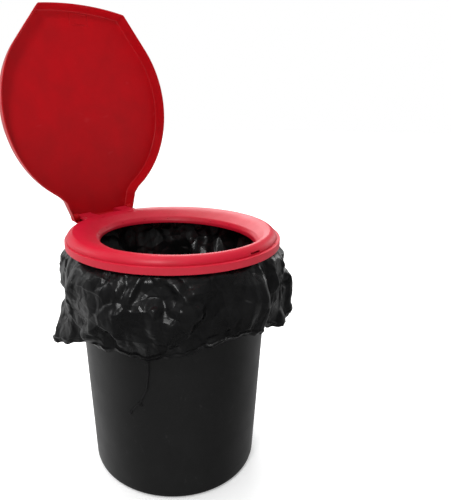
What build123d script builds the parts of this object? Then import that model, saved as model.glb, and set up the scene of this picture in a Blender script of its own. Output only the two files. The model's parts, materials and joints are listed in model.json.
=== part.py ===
from build123d import *
import os
from math import acos, atan2, cos, degrees, radians, sin, sqrt, tan

# Portable camp toilet: a snap-on seat with a hinged lid, on a five-gallon pail with a bag liner.
# Millimetres, +Z up. The origin is the middle of the pail's base, on the floor. The front of the
# seat faces -Y, and the lid's hinge runs along X behind the seat. The lid is drawn standing open.

# ---- Pail ----
PAIL_HEIGHT = 368.0
PAIL_BASE_RADIUS = 131.0       # outside, at the floor, before the foot is stepped in
PAIL_TOP_RADIUS = 146.2        # outside, at the rim
PAIL_WALL = 2.3
PAIL_FLOOR = 3.0
BASE_RECESS = 2.0              # the base's underside stands this far above its foot ring
FOOT_HEIGHT = 8.0
FOOT_STEP = 0.7                # the foot is this much smaller than the wall above it
FOOT_CHAMFER = 3.5
FOOT_WIDTH = 8.0
BASE_PAD_RADIUS = 20.0
BASE_RING_RADIUS = 72.0
BASE_RING_WIDTH = 4.0
RIM_OUT = 4.8                  # the rim bead stands this far outside the wall
RIM_BEAD = 10.0                # height of the rim bead
COLLAR_OUT = 4.3               # the collars stand this far outside the wall's top
COLLAR_THICKNESS = 2.5
COLLAR_DEPTHS = (24.0, 44.0)   # how far under the rim each stiffening collar is

# ---- Bail handle ----
EAR_HEADING = -44.3            # degrees from +X to the ear that the bail's axis points at
EAR_DROP = 68.0                # from the rim down to the ears
EAR_RADIUS = 11.0
EAR_OUT = 3.0                  # an ear's face stands this far outside the rim bead
BAIL_WIRE = 4.0                # diameter
BAIL_PIN_CLEARANCE = 0.08      # radial, in the ears
BAIL_PIN_DEPTH = 7.0
BAIL_EAR_GAP = 1.0             # between a leg of the wire and the ear's face
BAIL_HANG = 38.0               # degrees below level, where the bail rests by the pail
GRIP_RADIUS = 9.5
GRIP_LENGTH = 95.0
GRIP_CLEARANCE = 0.3           # radial, round the wire
GRIP_OFF_PAIL = 4.1            # level gap between the resting grip and the pail's wall

# ---- Liner ----
FILM = 0.8                     # the film's folds and air make it this thick here
FILM_GAP = 0.3                 # between the film and the pail
CUFF_BAIL_GAP = 0.58           # between the hem and the widest reach of the bail's wire inside it
CUFF_SHOULDER = 28.0           # from the rim down to the widest part
CUFF_WAIST = 68.0              # from the rim down to where the cuff starts to narrow
CUFF_LENGTH = 131.0            # from the rim down to the hem
CUFF_BULGE = 6.5               # the widest part stands this far outside the hem
CUFF_REAR_GAP = 4.0            # the hem is hitched up to this far above the ears, over the bail
CUFF_REAR_HALF_ANGLE = 66.0

# ---- Seat ----
SEAT_OUT = 9.0                 # the skirt's outside stands this far outside the rim bead
SEAT_DROP = 7.0                # the skirt's lower edge is this far below the pail's rim
SEAT_SKIRT = 2.5               # thickness
SEAT_CLEARANCE = 0.3           # above the film on the rim
LEDGE_THICKNESS = 2.0
BODY_IN = 3.1                  # the body above the ledge is this much narrower than the skirt
BODY_BACK = 2.0                # and its centre is this far behind the pail's axis, as the lid's is
ROUND_OVER = ((1.2, 4.0), (3.3, 7.0), (6.6, 9.5))   # its shoulder: in from its foot, above the ledge
CROWN_IN = 10.9                # the crown's ridge is this far inside the body's foot
CROWN_RISE = 10.6              # from the ledge up to the ridge
SEAT_SKIN = 3.0
BAND_SIDE = 39.0               # from the ridge in to the opening, at each side
BAND_FRONT = 14.0
BAND_REAR = 32.0
DISH_DROP = 12.0               # from the ridge down to the opening's edge at its two sides
RIB_COUNT = 18
RIB_THICKNESS = 2.0
LUG_COUNT = 8
LUG_HEIGHT = 2.5
LUG_ANGLE = 9.0                # degrees round the rim
LUG_CLEARANCE = 0.4            # to the film on the rim bead
SLOT_WIDTH = 19.0
SLOT_ABOVE = 1.2               # the slot's lower edge above the ledge
SLOT_HEIGHT = 2.8

# ---- Hinge ----
HINGE_BEHIND = 14.0            # hinge axis behind the back of the seat's skirt
HINGE_ABOVE = 6.6              # hinge axis above the ledge
HINGE_OUTER = 50.5             # outer end of each seat arm, from the middle
ARM_WIDTH = 25.0
KNUCKLE_WALL = 1.3             # round the pin
HINGE_PIN_RADIUS = 2.5
HINGE_PIN_LENGTH = 6.0
HINGE_PIN_CLEARANCE = 0.08     # radial
HINGE_SIDE_GAP = 0.7

# ---- Lid ----
LID_OPEN_ANGLE = 95.0          # degrees between closed and its open stop
LID_REST_GAP = 0.3             # above the ledge when closed
LID_SIDE_GAP = 0.3             # between the lid's rim and the seat's body when closed
LID_DEPTH = 24.3               # rim to the top of the crowned plate
LID_CROWN = 4.6
LID_WALL = 1.8
LID_FLARE = 0.25               # the skirt widens this much per millimetre of depth
LID_CORNER_OUT = 80.0          # front corner from the middle
LID_BOW = 6.0                  # the front edge bows out this much between its corners
NECK_STEP = 10.0               # the round ends this much wider than the tab starts
NECK_DEPTH = 10.0
TAB_TAPER = 12.0               # the tab's half-width narrows this much to its end
TAB_PIN_ROOM = 1.7             # between a pin's end and the inside of the tab's end
TAB_ROOM = 2.2                 # between a boss and the inside of the tab's end wall
BOSS_WALL = 3.5                # round the pin
NIB_WIDTH = 14.0
NIB_HEIGHT = 2.0
NIB_REACH = 0.3                # past the seat's body into the slot
RECESS = (34.0, 16.0, 1.0)     # shallow recess inside the lid near the nib
RECESS_BEHIND = 17.5           # its middle is this far behind the front edge

# ---- Tie string: a loose tail of the liner's tie, from inside the cuff down the pail ----
STRING_DIAMETER = 2.0
STRING_ARC_SHARE = 0.45
STRING_POINTS = [
    (-143.5, -88.3, 266.0), (-137.3, -84.5, 264.5), (-129.7, -79.8, 256.0),
    (-124.0, -76.3, 243.0), (-121.7, -74.6, 227.0), (-121.0, -73.6, 212.0),
    (-121.5, -71.6, 199.0), (-121.7, -69.9, 186.5), (-123.9, -65.4, 178.0),
    (-125.3, -61.0, 165.5), (-128.3, -54.6, 158.0), (-130.2, -48.6, 151.0),
    (-131.2, -45.0, 144.5),
]
KNOT_RADIUS = 2.3

# ---- Worked out from the sizes above ----
FLOOR_TOP = BASE_RECESS + PAIL_FLOOR
RIM_RADIUS = PAIL_TOP_RADIUS + RIM_OUT
COLLAR_RADIUS = PAIL_TOP_RADIUS + COLLAR_OUT
EAR_HEIGHT = PAIL_HEIGHT - EAR_DROP
EAR_FACE = RIM_RADIUS + EAR_OUT
BAIL_BEND = BAIL_WIRE / 2 + BAIL_EAR_GAP   # centre-line radius where the wire turns
BAIL_HALF_WIDTH = EAR_FACE + BAIL_BEND     # from the pail's axis to a leg of the wire
PAIL_TAPER = (PAIL_TOP_RADIUS - PAIL_BASE_RADIUS) / PAIL_HEIGHT
GRIP_OUT = ((PAIL_BASE_RADIUS + PAIL_TAPER * EAR_HEIGHT + GRIP_RADIUS + GRIP_OFF_PAIL)
            / (1 + PAIL_TAPER * tan(radians(BAIL_HANG))))   # grip's axis from the pail's
BAIL_LEG = GRIP_OUT / cos(radians(BAIL_HANG)) - BAIL_HALF_WIDTH
RIM_FILM_TOP = PAIL_HEIGHT + FILM_GAP + FILM
RIM_FILM_RADIUS = RIM_RADIUS + FILM_GAP + FILM
SEAT_RADIUS = RIM_RADIUS + SEAT_OUT
SEAT_LOW = PAIL_HEIGHT - SEAT_DROP
LEDGE_UNDERSIDE = RIM_FILM_TOP + SEAT_CLEARANCE
LEDGE_HEIGHT = LEDGE_UNDERSIDE + LEDGE_THICKNESS
BODY_RADIUS = SEAT_RADIUS - BODY_IN
BODY_INSIDE = BODY_RADIUS - ROUND_OVER[0][0] - SEAT_SKIN
CROWN_RADIUS = BODY_RADIUS - CROWN_IN
CROWN_HEIGHT = LEDGE_HEIGHT + CROWN_RISE
OPENING_HALF_WIDTH = CROWN_RADIUS - BAND_SIDE
OPENING_HALF_DEPTH = CROWN_RADIUS - (BAND_FRONT + BAND_REAR) / 2
OPENING_FORWARD = (BAND_REAR - BAND_FRONT) / 2 - BODY_BACK
OPENING_HEIGHT = CROWN_HEIGHT - DISH_DROP
SLOT_LOW = LEDGE_HEIGHT + SLOT_ABOVE
SLOT_HIGH = SLOT_LOW + SLOT_HEIGHT
BAIL_WIDEST = sqrt(BAIL_HALF_WIDTH ** 2 + (BAIL_LEG / tan(radians(BAIL_HANG))) ** 2)   # seen from above
CUFF_HEM_RADIUS = BAIL_WIDEST + BAIL_WIRE / 2 + FILM + CUFF_BAIL_GAP
CUFF_RADIUS = CUFF_HEM_RADIUS + CUFF_BULGE
CUFF_REAR_LENGTH = EAR_DROP - EAR_RADIUS - CUFF_REAR_GAP
KNUCKLE_RADIUS = HINGE_PIN_RADIUS + KNUCKLE_WALL
BOSS_RADIUS = HINGE_PIN_RADIUS + BOSS_WALL
HINGE_Y = SEAT_RADIUS + HINGE_BEHIND
HINGE_Z = LEDGE_HEIGHT + HINGE_ABOVE
HINGE_AXIS = Axis((0, HINGE_Y, HINGE_Z), (1, 0, 0))
LID_CENTRE = BODY_BACK
LID_RADIUS = BODY_RADIUS + LID_SIDE_GAP + LID_WALL
LID_FRONT = LID_RADIUS - LID_CENTRE
LID_LOW = LEDGE_HEIGHT + LID_REST_GAP
LID_TOP = LID_LOW + LID_DEPTH
TAB_END_HALF_WIDTH = HINGE_OUTER + HINGE_PIN_LENGTH + TAB_PIN_ROOM + LID_WALL
TAB_START_HALF_WIDTH = TAB_END_HALF_WIDTH + TAB_TAPER
NECK_HALF_WIDTH = TAB_START_HALF_WIDTH + NECK_STEP
TAB_BEHIND = BOSS_RADIUS + TAB_ROOM + LID_WALL   # the tab ends this far behind the hinge axis


def pail_radius(height):
    """Outer radius of the tapered wall at a height above the floor."""
    return PAIL_BASE_RADIUS + PAIL_TAPER * height


def turned(points):
    """Solid of revolution about Z from (radius, height) points."""
    outline = Plane.XZ * make_face(Polyline(*points, close=True))
    return revolve(outline, Axis.Z)


def ring(inner, outer, low, high):
    """Plain ring about Z."""
    return turned([(inner, low), (outer, low), (outer, high), (inner, high)])


def block(x_low, x_high, y_low, y_high, z_low, z_high):
    """Box between six planes."""
    centre = ((x_low + x_high) / 2, (y_low + y_high) / 2, (z_low + z_high) / 2)
    return Pos(*centre) * Box(x_high - x_low, y_high - y_low, z_high - z_low)


def rod(radius, start, direction, length):
    """Cylinder from a start point along a direction."""
    return Plane(origin=start, z_dir=direction) * Cylinder(
        radius, length, align=(Align.CENTER, Align.CENTER, Align.MIN))


def ear_direction(side):
    """Unit vector from the pail's axis to the ear on one side, +1 or -1."""
    return Vector(side * cos(radians(EAR_HEADING)), side * sin(radians(EAR_HEADING)), 0)


def make_pail():
    """Tapered pail: stepped foot, ribbed base, two collars, a rim bead and two bail ears."""
    foot = pail_radius(0) - FOOT_STEP
    inner_top = PAIL_TOP_RADIUS - PAIL_WALL
    bead_low = PAIL_HEIGHT - RIM_BEAD
    soft = RIM_BEAD / 5
    body = turned([
        (0, BASE_RECESS), (foot - FOOT_CHAMFER - FOOT_WIDTH, BASE_RECESS),
        (foot - FOOT_CHAMFER - FOOT_WIDTH, 0), (foot - FOOT_CHAMFER, 0), (foot, FOOT_CHAMFER),
        (pail_radius(FOOT_HEIGHT) - FOOT_STEP, FOOT_HEIGHT), (pail_radius(FOOT_HEIGHT), FOOT_HEIGHT),
        (pail_radius(bead_low), bead_low), (RIM_RADIUS - soft, bead_low), (RIM_RADIUS, bead_low + soft),
        (RIM_RADIUS, PAIL_HEIGHT - soft), (RIM_RADIUS - soft, PAIL_HEIGHT), (inner_top, PAIL_HEIGHT),
        (pail_radius(FLOOR_TOP) - PAIL_WALL, FLOOR_TOP), (0, FLOOR_TOP),
    ])
    body += Cylinder(BASE_PAD_RADIUS, BASE_RECESS + PAIL_FLOOR / 2,
                     align=(Align.CENTER, Align.CENTER, Align.MIN))
    body += ring(BASE_RING_RADIUS, BASE_RING_RADIUS + BASE_RING_WIDTH, 0, BASE_RECESS + PAIL_FLOOR / 2)
    for depth in COLLAR_DEPTHS:
        low = PAIL_HEIGHT - depth
        body += ring(pail_radius(low) - PAIL_WALL / 2, COLLAR_RADIUS, low, low + COLLAR_THICKNESS)
    root = pail_radius(EAR_HEIGHT) - PAIL_WALL / 2
    for side in (1, -1):
        out = ear_direction(side)
        body += rod(EAR_RADIUS, out * root + Vector(0, 0, EAR_HEIGHT), out, EAR_FACE - root)
        mouth = out * (EAR_FACE - BAIL_PIN_DEPTH - 1) + Vector(0, 0, EAR_HEIGHT)
        body -= rod(BAIL_WIRE / 2 + BAIL_PIN_CLEARANCE, mouth, out, BAIL_PIN_DEPTH + 2)
    return body


def bail_plane():
    """Plane of the bail at rest: x to the ear, y out to the grip, below level."""
    out = ear_direction(1)
    level = Vector(-out.Y, out.X, 0)
    reach = level * cos(radians(BAIL_HANG)) - Vector(0, 0, sin(radians(BAIL_HANG)))
    return Plane(origin=(0, 0, EAR_HEIGHT), x_dir=out, z_dir=out.cross(reach))


def make_bail_wire():
    """U-shaped wire: two legs and a half round, its ends turned into the ears."""
    half = BAIL_HALF_WIDTH
    pin_end = EAR_FACE - BAIL_PIN_DEPTH
    soft = BAIL_BEND * (1 - sin(radians(45)))
    path = [
        Line((pin_end, 0), (half - BAIL_BEND, 0)),
        ThreePointArc((half - BAIL_BEND, 0), (half - soft, soft), (half, BAIL_BEND)),
        Line((half, BAIL_BEND), (half, BAIL_LEG)),
        ThreePointArc((half, BAIL_LEG), (0, BAIL_LEG + half), (-half, BAIL_LEG)),
        Line((-half, BAIL_LEG), (-half, BAIL_BEND)),
        ThreePointArc((-half, BAIL_BEND), (-half + soft, soft), (-half + BAIL_BEND, 0)),
        Line((-half + BAIL_BEND, 0), (-pin_end, 0)),
    ]
    section = Plane(origin=(pin_end, 0, 0), z_dir=(1, 0, 0)) * Circle(BAIL_WIRE / 2)
    return bail_plane() * sweep(section, path=Wire(path))


def make_bail_grip():
    """Moulded grip, a tube bent to the wire's round."""
    half = BAIL_HALF_WIDTH
    turn = GRIP_LENGTH / half / 2
    ends = [(side * half * sin(turn), BAIL_LEG + half * cos(turn)) for side in (1, -1)]
    path = ThreePointArc(ends[0], (0, BAIL_LEG + half), ends[1])
    section = Plane(origin=(*ends[0], 0), z_dir=(-cos(turn), sin(turn), 0)) * (
        Circle(GRIP_RADIUS) - Circle(BAIL_WIRE / 2 + GRIP_CLEARANCE))
    return bail_plane() * sweep(section, path=path)


def make_liner_bag():
    """The liner inside the pail, lying against its wall and floor."""
    low = FLOOR_TOP + FILM_GAP
    high = PAIL_HEIGHT + FILM_GAP
    inset = PAIL_WALL + FILM_GAP
    return turned([
        (0, low), (pail_radius(low) - inset, low), (PAIL_TOP_RADIUS - inset, high),
        (PAIL_TOP_RADIUS - inset - FILM, high), (pail_radius(low) - inset - FILM, low + FILM),
        (0, low + FILM),
    ])


def make_liner_cuff():
    """The liner turned over the rim: under the seat, out, and down to a loose hem."""
    inner = PAIL_TOP_RADIUS - PAIL_WALL - FILM_GAP - FILM
    throat = SEAT_LOW - 1.0
    shoulder = PAIL_HEIGHT - CUFF_SHOULDER
    waist = PAIL_HEIGHT - CUFF_WAIST
    hem = PAIL_HEIGHT - CUFF_LENGTH
    bulge = CUFF_RADIUS - 3.0
    cuff = turned([
        (inner, RIM_FILM_TOP), (RIM_FILM_RADIUS, RIM_FILM_TOP), (RIM_FILM_RADIUS, throat),
        (bulge, shoulder + 12), (CUFF_RADIUS, shoulder), (CUFF_RADIUS, waist), (CUFF_HEM_RADIUS, hem),
        (CUFF_HEM_RADIUS - FILM, hem), (CUFF_RADIUS - FILM, waist), (CUFF_RADIUS - FILM, shoulder),
        (bulge - FILM, shoulder + 12 - FILM), (RIM_FILM_RADIUS - FILM, throat - FILM),
        (RIM_FILM_RADIUS - FILM, RIM_FILM_TOP - FILM), (inner, RIM_FILM_TOP - FILM),
    ])
    middle = EAR_HEADING + 90
    reach = 4 * CUFF_RADIUS
    turns = [radians(middle + share * CUFF_REAR_HALF_ANGLE) for share in (-1, 0, 1)]
    wedge = make_face(Polyline((0, 0), *[(reach * cos(t), reach * sin(t)) for t in turns], close=True))
    return cuff - extrude(wedge, PAIL_HEIGHT - CUFF_REAR_LENGTH)


def string_radii():
    """Arc radius at each inner point of the string: as large as its two runs allow."""
    points = [Vector(*p) for p in STRING_POINTS]
    radii = []
    for before, here, after in zip(points, points[1:], points[2:]):
        run_in, run_out = here - before, after - here
        turn = radians(run_in.get_angle(run_out))
        radii.append(STRING_ARC_SHARE * min(run_in.length, run_out.length) / tan(turn / 2))
    return radii


def make_tie_string():
    """Limp string that comes off the inside of the cuff and lies down the pail's wall."""
    path = FilletPolyline(*STRING_POINTS, radius=string_radii())
    direction = Vector(*STRING_POINTS[1]) - Vector(*STRING_POINTS[0])
    section = Plane(origin=STRING_POINTS[0], z_dir=direction) * Circle(STRING_DIAMETER / 2)
    string = sweep(section, path=path)
    length = path.length
    ideal = 3.14159265 * (STRING_DIAMETER / 2) ** 2 * length
    print("string length", round(length, 1), "volume ratio", round(string.volume / ideal, 4))
    print("string radii", [round(r, 1) for r in string_radii()])
    return string


def make_tie_knot():
    """Small knot on the string's lower end."""
    end, before = Vector(*STRING_POINTS[-1]), Vector(*STRING_POINTS[-2])
    centre = end + (end - before).normalized() * KNOT_RADIUS * 0.5
    away = Vector(centre.X, centre.Y, 0).normalized()
    wall = pail_radius(centre.Z) + KNOT_RADIUS + FILM_GAP
    centre += away * max(0.0, wall - Vector(centre.X, centre.Y, 0).length)
    return Pos(centre) * Sphere(KNOT_RADIUS)


def opening_prism(grow, low, high):
    """Prism of the oval opening, grown all round."""
    oval = Pos(0, -OPENING_FORWARD, low) * Ellipse(OPENING_HALF_WIDTH + grow, OPENING_HALF_DEPTH + grow)
    return extrude(oval, high - low)


def seat_dish():
    """Space above the seat's top, which slopes down from the round crown towards the opening."""
    slope = (CROWN_HEIGHT - OPENING_HEIGHT) / (CROWN_RADIUS - OPENING_HALF_WIDTH)
    middle = CROWN_HEIGHT - slope * CROWN_RADIUS
    return Pos(0, BODY_BACK, 0) * turned([(0, CROWN_HEIGHT), (CROWN_RADIUS, CROWN_HEIGHT), (0, middle)])


def seat_blank():
    """Outside of the seat before its dish, opening and underside are cut."""
    shoulder = [(BODY_RADIUS - inset, LEDGE_HEIGHT + rise) for inset, rise in ROUND_OVER]
    body = turned([(0, SEAT_LOW), (BODY_RADIUS, SEAT_LOW), (BODY_RADIUS, LEDGE_HEIGHT), *shoulder,
                   (CROWN_RADIUS, CROWN_HEIGHT), (0, CROWN_HEIGHT)])
    return ring(0, SEAT_RADIUS, SEAT_LOW, LEDGE_HEIGHT) + Pos(0, BODY_BACK, 0) * body


def hinge_arms():
    """Two flat arms behind the seat, each with a knuckle and a pin that points outwards."""
    wall_inside = sqrt((CROWN_RADIUS - SEAT_SKIN) ** 2 - HINGE_OUTER ** 2)
    arms = []
    for side in (1, -1):
        ends = sorted((side * HINGE_OUTER, side * (HINGE_OUTER - ARM_WIDTH)))
        arm = block(*ends, wall_inside, HINGE_Y, HINGE_Z - KNUCKLE_RADIUS + 1, HINGE_Z + KNUCKLE_RADIUS - 1)
        arm += rod(KNUCKLE_RADIUS, (ends[0], HINGE_Y, HINGE_Z), (1, 0, 0), ARM_WIDTH)
        arm += rod(HINGE_PIN_RADIUS, (side * (HINGE_OUTER - 2), HINGE_Y, HINGE_Z), (side, 0, 0),
                   HINGE_PIN_LENGTH + 2)
        arms.append(arm)
    return arms


def seat_hollow(solid):
    """Underside: room for the rim and film, and ribbed cells under the seat's skin."""
    lip = opening_prism(SEAT_SKIN, SEAT_LOW - 5, CROWN_HEIGHT)
    rim_room = ring(0, SEAT_RADIUS - SEAT_SKIRT, SEAT_LOW - 1, LEDGE_UNDERSIDE)
    inside = Pos(0, BODY_BACK, 0) * ring(0, BODY_INSIDE, SEAT_LOW, CROWN_HEIGHT)
    cells = (Pos(0, 0, -SEAT_SKIN) * solid) & inside
    for i in range(RIB_COUNT):
        rib = block(0, SEAT_RADIUS, -RIB_THICKNESS / 2, RIB_THICKNESS / 2, LEDGE_UNDERSIDE, CROWN_HEIGHT)
        cells -= Rot(0, 0, (i + 0.5) * 360 / RIB_COUNT) * rib
    return (rim_room + cells) - lip


def seat_lugs():
    """Short lugs inside the skirt that hold under the rim bead."""
    inner = RIM_FILM_RADIUS + LUG_CLEARANCE
    lugs = []
    for i in range(LUG_COUNT):
        face = Plane.XZ * make_face(Polyline(
            (inner, SEAT_LOW + LUG_HEIGHT), (SEAT_RADIUS - SEAT_SKIRT / 2, SEAT_LOW + 2 * LUG_HEIGHT),
            (SEAT_RADIUS - SEAT_SKIRT / 2, SEAT_LOW), (inner + 1.5, SEAT_LOW), close=True))
        turn = (i + 0.5) * 360 / LUG_COUNT - LUG_ANGLE / 2
        lugs.append(Rot(0, 0, turn) * revolve(face, Axis.Z, LUG_ANGLE))
    return lugs


def make_seat():
    """Seat ring: dished crown, oval opening, ledge, skirt, ribs, lugs, latch slot and hinge arms."""
    dish = seat_dish()
    solid = seat_blank() - dish
    seat = solid - opening_prism(0, SEAT_LOW - 5, CROWN_HEIGHT) - seat_hollow(solid)
    for lug in seat_lugs():
        seat += lug
    for arm in hinge_arms():
        seat += arm - dish
    slot = block(-SLOT_WIDTH / 2, SLOT_WIDTH / 2, BODY_BACK - BODY_RADIUS - 1, BODY_BACK - BODY_INSIDE + 0.5,
                 SLOT_LOW, SLOT_HIGH)
    return seat - slot


def lid_outline(inset, height):
    """Lid outline, inset all round: most of a circle, flat towards its front, a tab behind."""
    radius = LID_RADIUS - inset
    corner = Vector(LID_CORNER_OUT - inset, -LID_FRONT + LID_BOW + inset)
    from_centre = corner - Vector(0, LID_CENTRE)
    heading = atan2(from_centre.Y, from_centre.X)
    touch = heading + acos(radius / from_centre.length)
    tangent = Vector(radius * cos(touch), LID_CENTRE + radius * sin(touch))
    neck = acos((NECK_HALF_WIDTH - inset) / radius)
    round_end = Vector(radius * cos(neck), LID_CENTRE + radius * sin(neck))
    tab_start = Vector(TAB_START_HALF_WIDTH - inset, round_end.Y + NECK_DEPTH)
    tab_end = Vector(TAB_END_HALF_WIDTH - inset, HINGE_Y + TAB_BEHIND - inset)
    side = (LID_RADIUS - inset, LID_CENTRE)

    def flip(p):
        return (-p[0], p[1]) if isinstance(p, tuple) else (-p.X, p.Y)

    def at(p):
        return (p.X, p.Y)

    edges = [
        ThreePointArc(flip(corner), (0, -LID_FRONT + inset), at(corner)),
        Line(at(corner), at(tangent)),
        ThreePointArc(at(tangent), side, at(round_end)),
        Line(at(round_end), at(tab_start)),
        Line(at(tab_start), at(tab_end)),
        Line(at(tab_end), flip(tab_end)),
        Line(flip(tab_end), flip(tab_start)),
        Line(flip(tab_start), flip(round_end)),
        ThreePointArc(flip(round_end), flip(side), flip(tangent)),
        Line(flip(tangent), flip(corner)),
    ]
    return Pos(0, 0, height) * make_face(Wire(edges))


def lid_block(inset, low, top):
    """Solid inside a flared outline, with a crowned top."""
    high = LID_TOP + 1
    wide = lid_outline(inset + (low - LID_LOW) * LID_FLARE, low)
    narrow = lid_outline(inset + (high - LID_LOW) * LID_FLARE, high)
    reach = LID_RADIUS - LID_DEPTH * LID_FLARE
    crown = (reach ** 2 + LID_CROWN ** 2) / (2 * LID_CROWN)
    dome = Pos(0, LID_CENTRE, top - crown) * Sphere(crown)
    return loft([wide, narrow], ruled=True) & dome


def lid_bosses():
    """Bosses inside the tab's two sides, one for each hinge pin."""
    bosses = []
    for side in (1, -1):
        start = side * (HINGE_OUTER + HINGE_SIDE_GAP)
        length = TAB_END_HALF_WIDTH + 1.0 - abs(start)
        boss = rod(BOSS_RADIUS, (start, HINGE_Y, HINGE_Z), (side, 0, 0), length)
        bosses.append(boss)
    return bosses


def make_lid():
    """Lid: crowned plate, flared skirt, hinge tab with bosses, latch nib, turned to its open stop."""
    outer = lid_block(0, LID_LOW, LID_TOP)
    lid = outer - lid_block(LID_WALL, LID_LOW - 1, LID_TOP - LID_WALL)
    for boss in lid_bosses():
        lid += boss & outer
    for side in (1, -1):
        lid -= rod(HINGE_PIN_RADIUS + HINGE_PIN_CLEARANCE, (side * HINGE_OUTER, HINGE_Y, HINGE_Z),
                   (side, 0, 0), HINGE_PIN_LENGTH + 1)
    nib_middle = (SLOT_LOW + SLOT_HIGH) / 2
    lean = ROUND_OVER[0][0] / ROUND_OVER[0][1]
    nib_tip = BODY_BACK - BODY_RADIUS + lean * (nib_middle - LEDGE_HEIGHT) + NIB_REACH
    lid += block(-NIB_WIDTH / 2, NIB_WIDTH / 2, -LID_FRONT + LID_WALL, nib_tip,
                 nib_middle - NIB_HEIGHT / 2, nib_middle + NIB_HEIGHT / 2)
    width, depth, sink = RECESS
    forward = LID_FRONT - RECESS_BEHIND
    plate = LID_TOP - LID_WALL - LID_CROWN * (forward / LID_RADIUS) ** 2
    lid -= block(-width / 2, width / 2, -forward - depth / 2, -forward + depth / 2, plate - 6, plate + sink)
    return lid.rotate(HINGE_AXIS, -LID_OPEN_ANGLE)


def main():
    makers = {
        "pail": make_pail,
        "bail_wire": make_bail_wire,
        "bail_grip": make_bail_grip,
        "liner_bag": make_liner_bag,
        "liner_cuff": make_liner_cuff,
        "tie_string": make_tie_string,
        "tie_knot": make_tie_knot,
        "seat_ring": make_seat,
        "lid": make_lid,
    }
    os.makedirs("parts", exist_ok=True)
    for node, make in makers.items():
        export_step(make(), f"parts/{node}.step")


if __name__ == "__main__":
    main()
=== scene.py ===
import json
import math

import bmesh
import bpy
import numpy as np
from bpy.props import FloatProperty, FloatVectorProperty, IntProperty, PointerProperty
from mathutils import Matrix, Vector


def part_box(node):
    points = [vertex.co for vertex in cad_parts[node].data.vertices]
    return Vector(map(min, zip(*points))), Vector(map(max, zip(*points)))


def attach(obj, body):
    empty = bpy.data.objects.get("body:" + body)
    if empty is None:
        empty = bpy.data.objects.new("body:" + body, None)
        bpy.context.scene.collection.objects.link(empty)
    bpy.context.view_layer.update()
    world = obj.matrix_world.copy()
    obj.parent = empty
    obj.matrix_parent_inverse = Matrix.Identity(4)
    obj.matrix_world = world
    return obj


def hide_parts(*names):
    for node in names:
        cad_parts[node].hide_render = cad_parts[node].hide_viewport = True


bl_info = {
    "name": "Camp Toilet Maker",
    "version": (1, 0, 0),
    "blender": (4, 5, 0),
    "location": "View3D > Sidebar > Camp Toilet",
    "description": "Builds a pail, liner, snap-on seat, hinged lid and bail around a packed frame",
    "category": "Add Mesh",
}

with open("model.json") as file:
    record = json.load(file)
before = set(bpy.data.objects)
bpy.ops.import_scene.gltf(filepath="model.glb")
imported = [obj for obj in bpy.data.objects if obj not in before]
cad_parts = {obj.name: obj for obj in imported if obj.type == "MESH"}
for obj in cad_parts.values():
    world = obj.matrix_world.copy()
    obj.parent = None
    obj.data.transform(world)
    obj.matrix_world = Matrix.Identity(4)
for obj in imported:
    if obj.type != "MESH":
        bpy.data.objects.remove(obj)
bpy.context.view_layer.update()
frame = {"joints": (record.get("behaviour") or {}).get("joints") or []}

# Everything below is in metres. The pail stands on the floor with its axis on the origin.
PAIL_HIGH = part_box("pail")[1]
RIM_RADIUS = PAIL_HIGH.x
PAIL_HEIGHT = PAIL_HIGH.z
SEAT_LOW, SEAT_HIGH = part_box("seat_ring")
SEAT_RADIUS = SEAT_HIGH.x
JOINTS = {joint["name"]: joint for joint in frame["joints"]}
HINGE = Vector(JOINTS["lid_hinge"]["pos_m"])
LID_TURN = math.radians(JOINTS["lid_hinge"]["range_deg"][1])
BAIL_PIVOT = Vector(JOINTS["bail_swing"]["pos_m"])
BAIL_AXIS = Vector(JOINTS["bail_swing"]["axis"]).normalized()

# The tie string's route, the same points as in the part's source.
STRING_POINTS = [
    (-0.1435, -0.0883, 0.2660), (-0.1373, -0.0845, 0.2645), (-0.1297, -0.0798, 0.2560),
    (-0.1240, -0.0763, 0.2430), (-0.1217, -0.0746, 0.2270), (-0.1210, -0.0736, 0.2120),
    (-0.1215, -0.0716, 0.1990), (-0.1217, -0.0699, 0.1865), (-0.1239, -0.0654, 0.1780),
    (-0.1253, -0.0610, 0.1655), (-0.1283, -0.0546, 0.1580), (-0.1302, -0.0486, 0.1510),
    (-0.1312, -0.0450, 0.1445),
]

# The hem of the liner's cuff, all round: degrees to the right of the side that faces the camera,
# and millimetres above the floor. The rear is hitched up over the bail.
HEM = [
    (-180, 320), (-113, 320), (-106, 262), (-88, 228), (-80, 216), (-70, 226), (-46, 247), (-30, 250),
    (-12, 242), (0, 252), (25, 271), (35, 270), (43, 262), (45, 269), (60, 252), (75, 244), (95, 250),
    (106, 266), (113, 320), (180, 320),
]

# The cuff's largest folds, in the same degrees and millimetres: start, end, half-width and height.
FOLDS = [
    ((-23, 315), (-25, 360), 9, 5), ((-21, 320), (-15, 360), 8, 4), ((-32, 345), (-32, 360), 8, -4),
    ((-46, 346), (-26, 340), 12, 3), ((-24, 315), (-43, 265), 15, 6), ((-34, 290), (-28, 270), 17, -6),
    ((-24, 312), (-25, 268), 9, 5), ((-22, 312), (-8, 322), 12, 4), ((-8, 322), (-8, 294), 11, 4),
    ((0, 322), (9, 315), 10, 4), ((-3, 362), (9, 317), 12, 5), ((9, 340), (17, 340), 9, 3),
    ((9, 314), (-4, 278), 16, 5), ((14, 296), (24, 322), 24, -5), ((36, 338), (33, 284), 11, 5),
    ((42, 337), (43, 264), 12, 5), ((50, 350), (50, 308), 12, -7), ((57, 345), (58, 300), 10, 4),
    ((33, 284), (17, 268), 10, 4), ((-52, 352), (-58, 300), 14, 4), ((-62, 288), (-43, 266), 13, 4),
]
FOLD_RADIUS = 0.172      # the cuff's radius where degrees of its folds are measured
FOLD_GAIN = 1.55         # how much higher the film stands than those heights say

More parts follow.
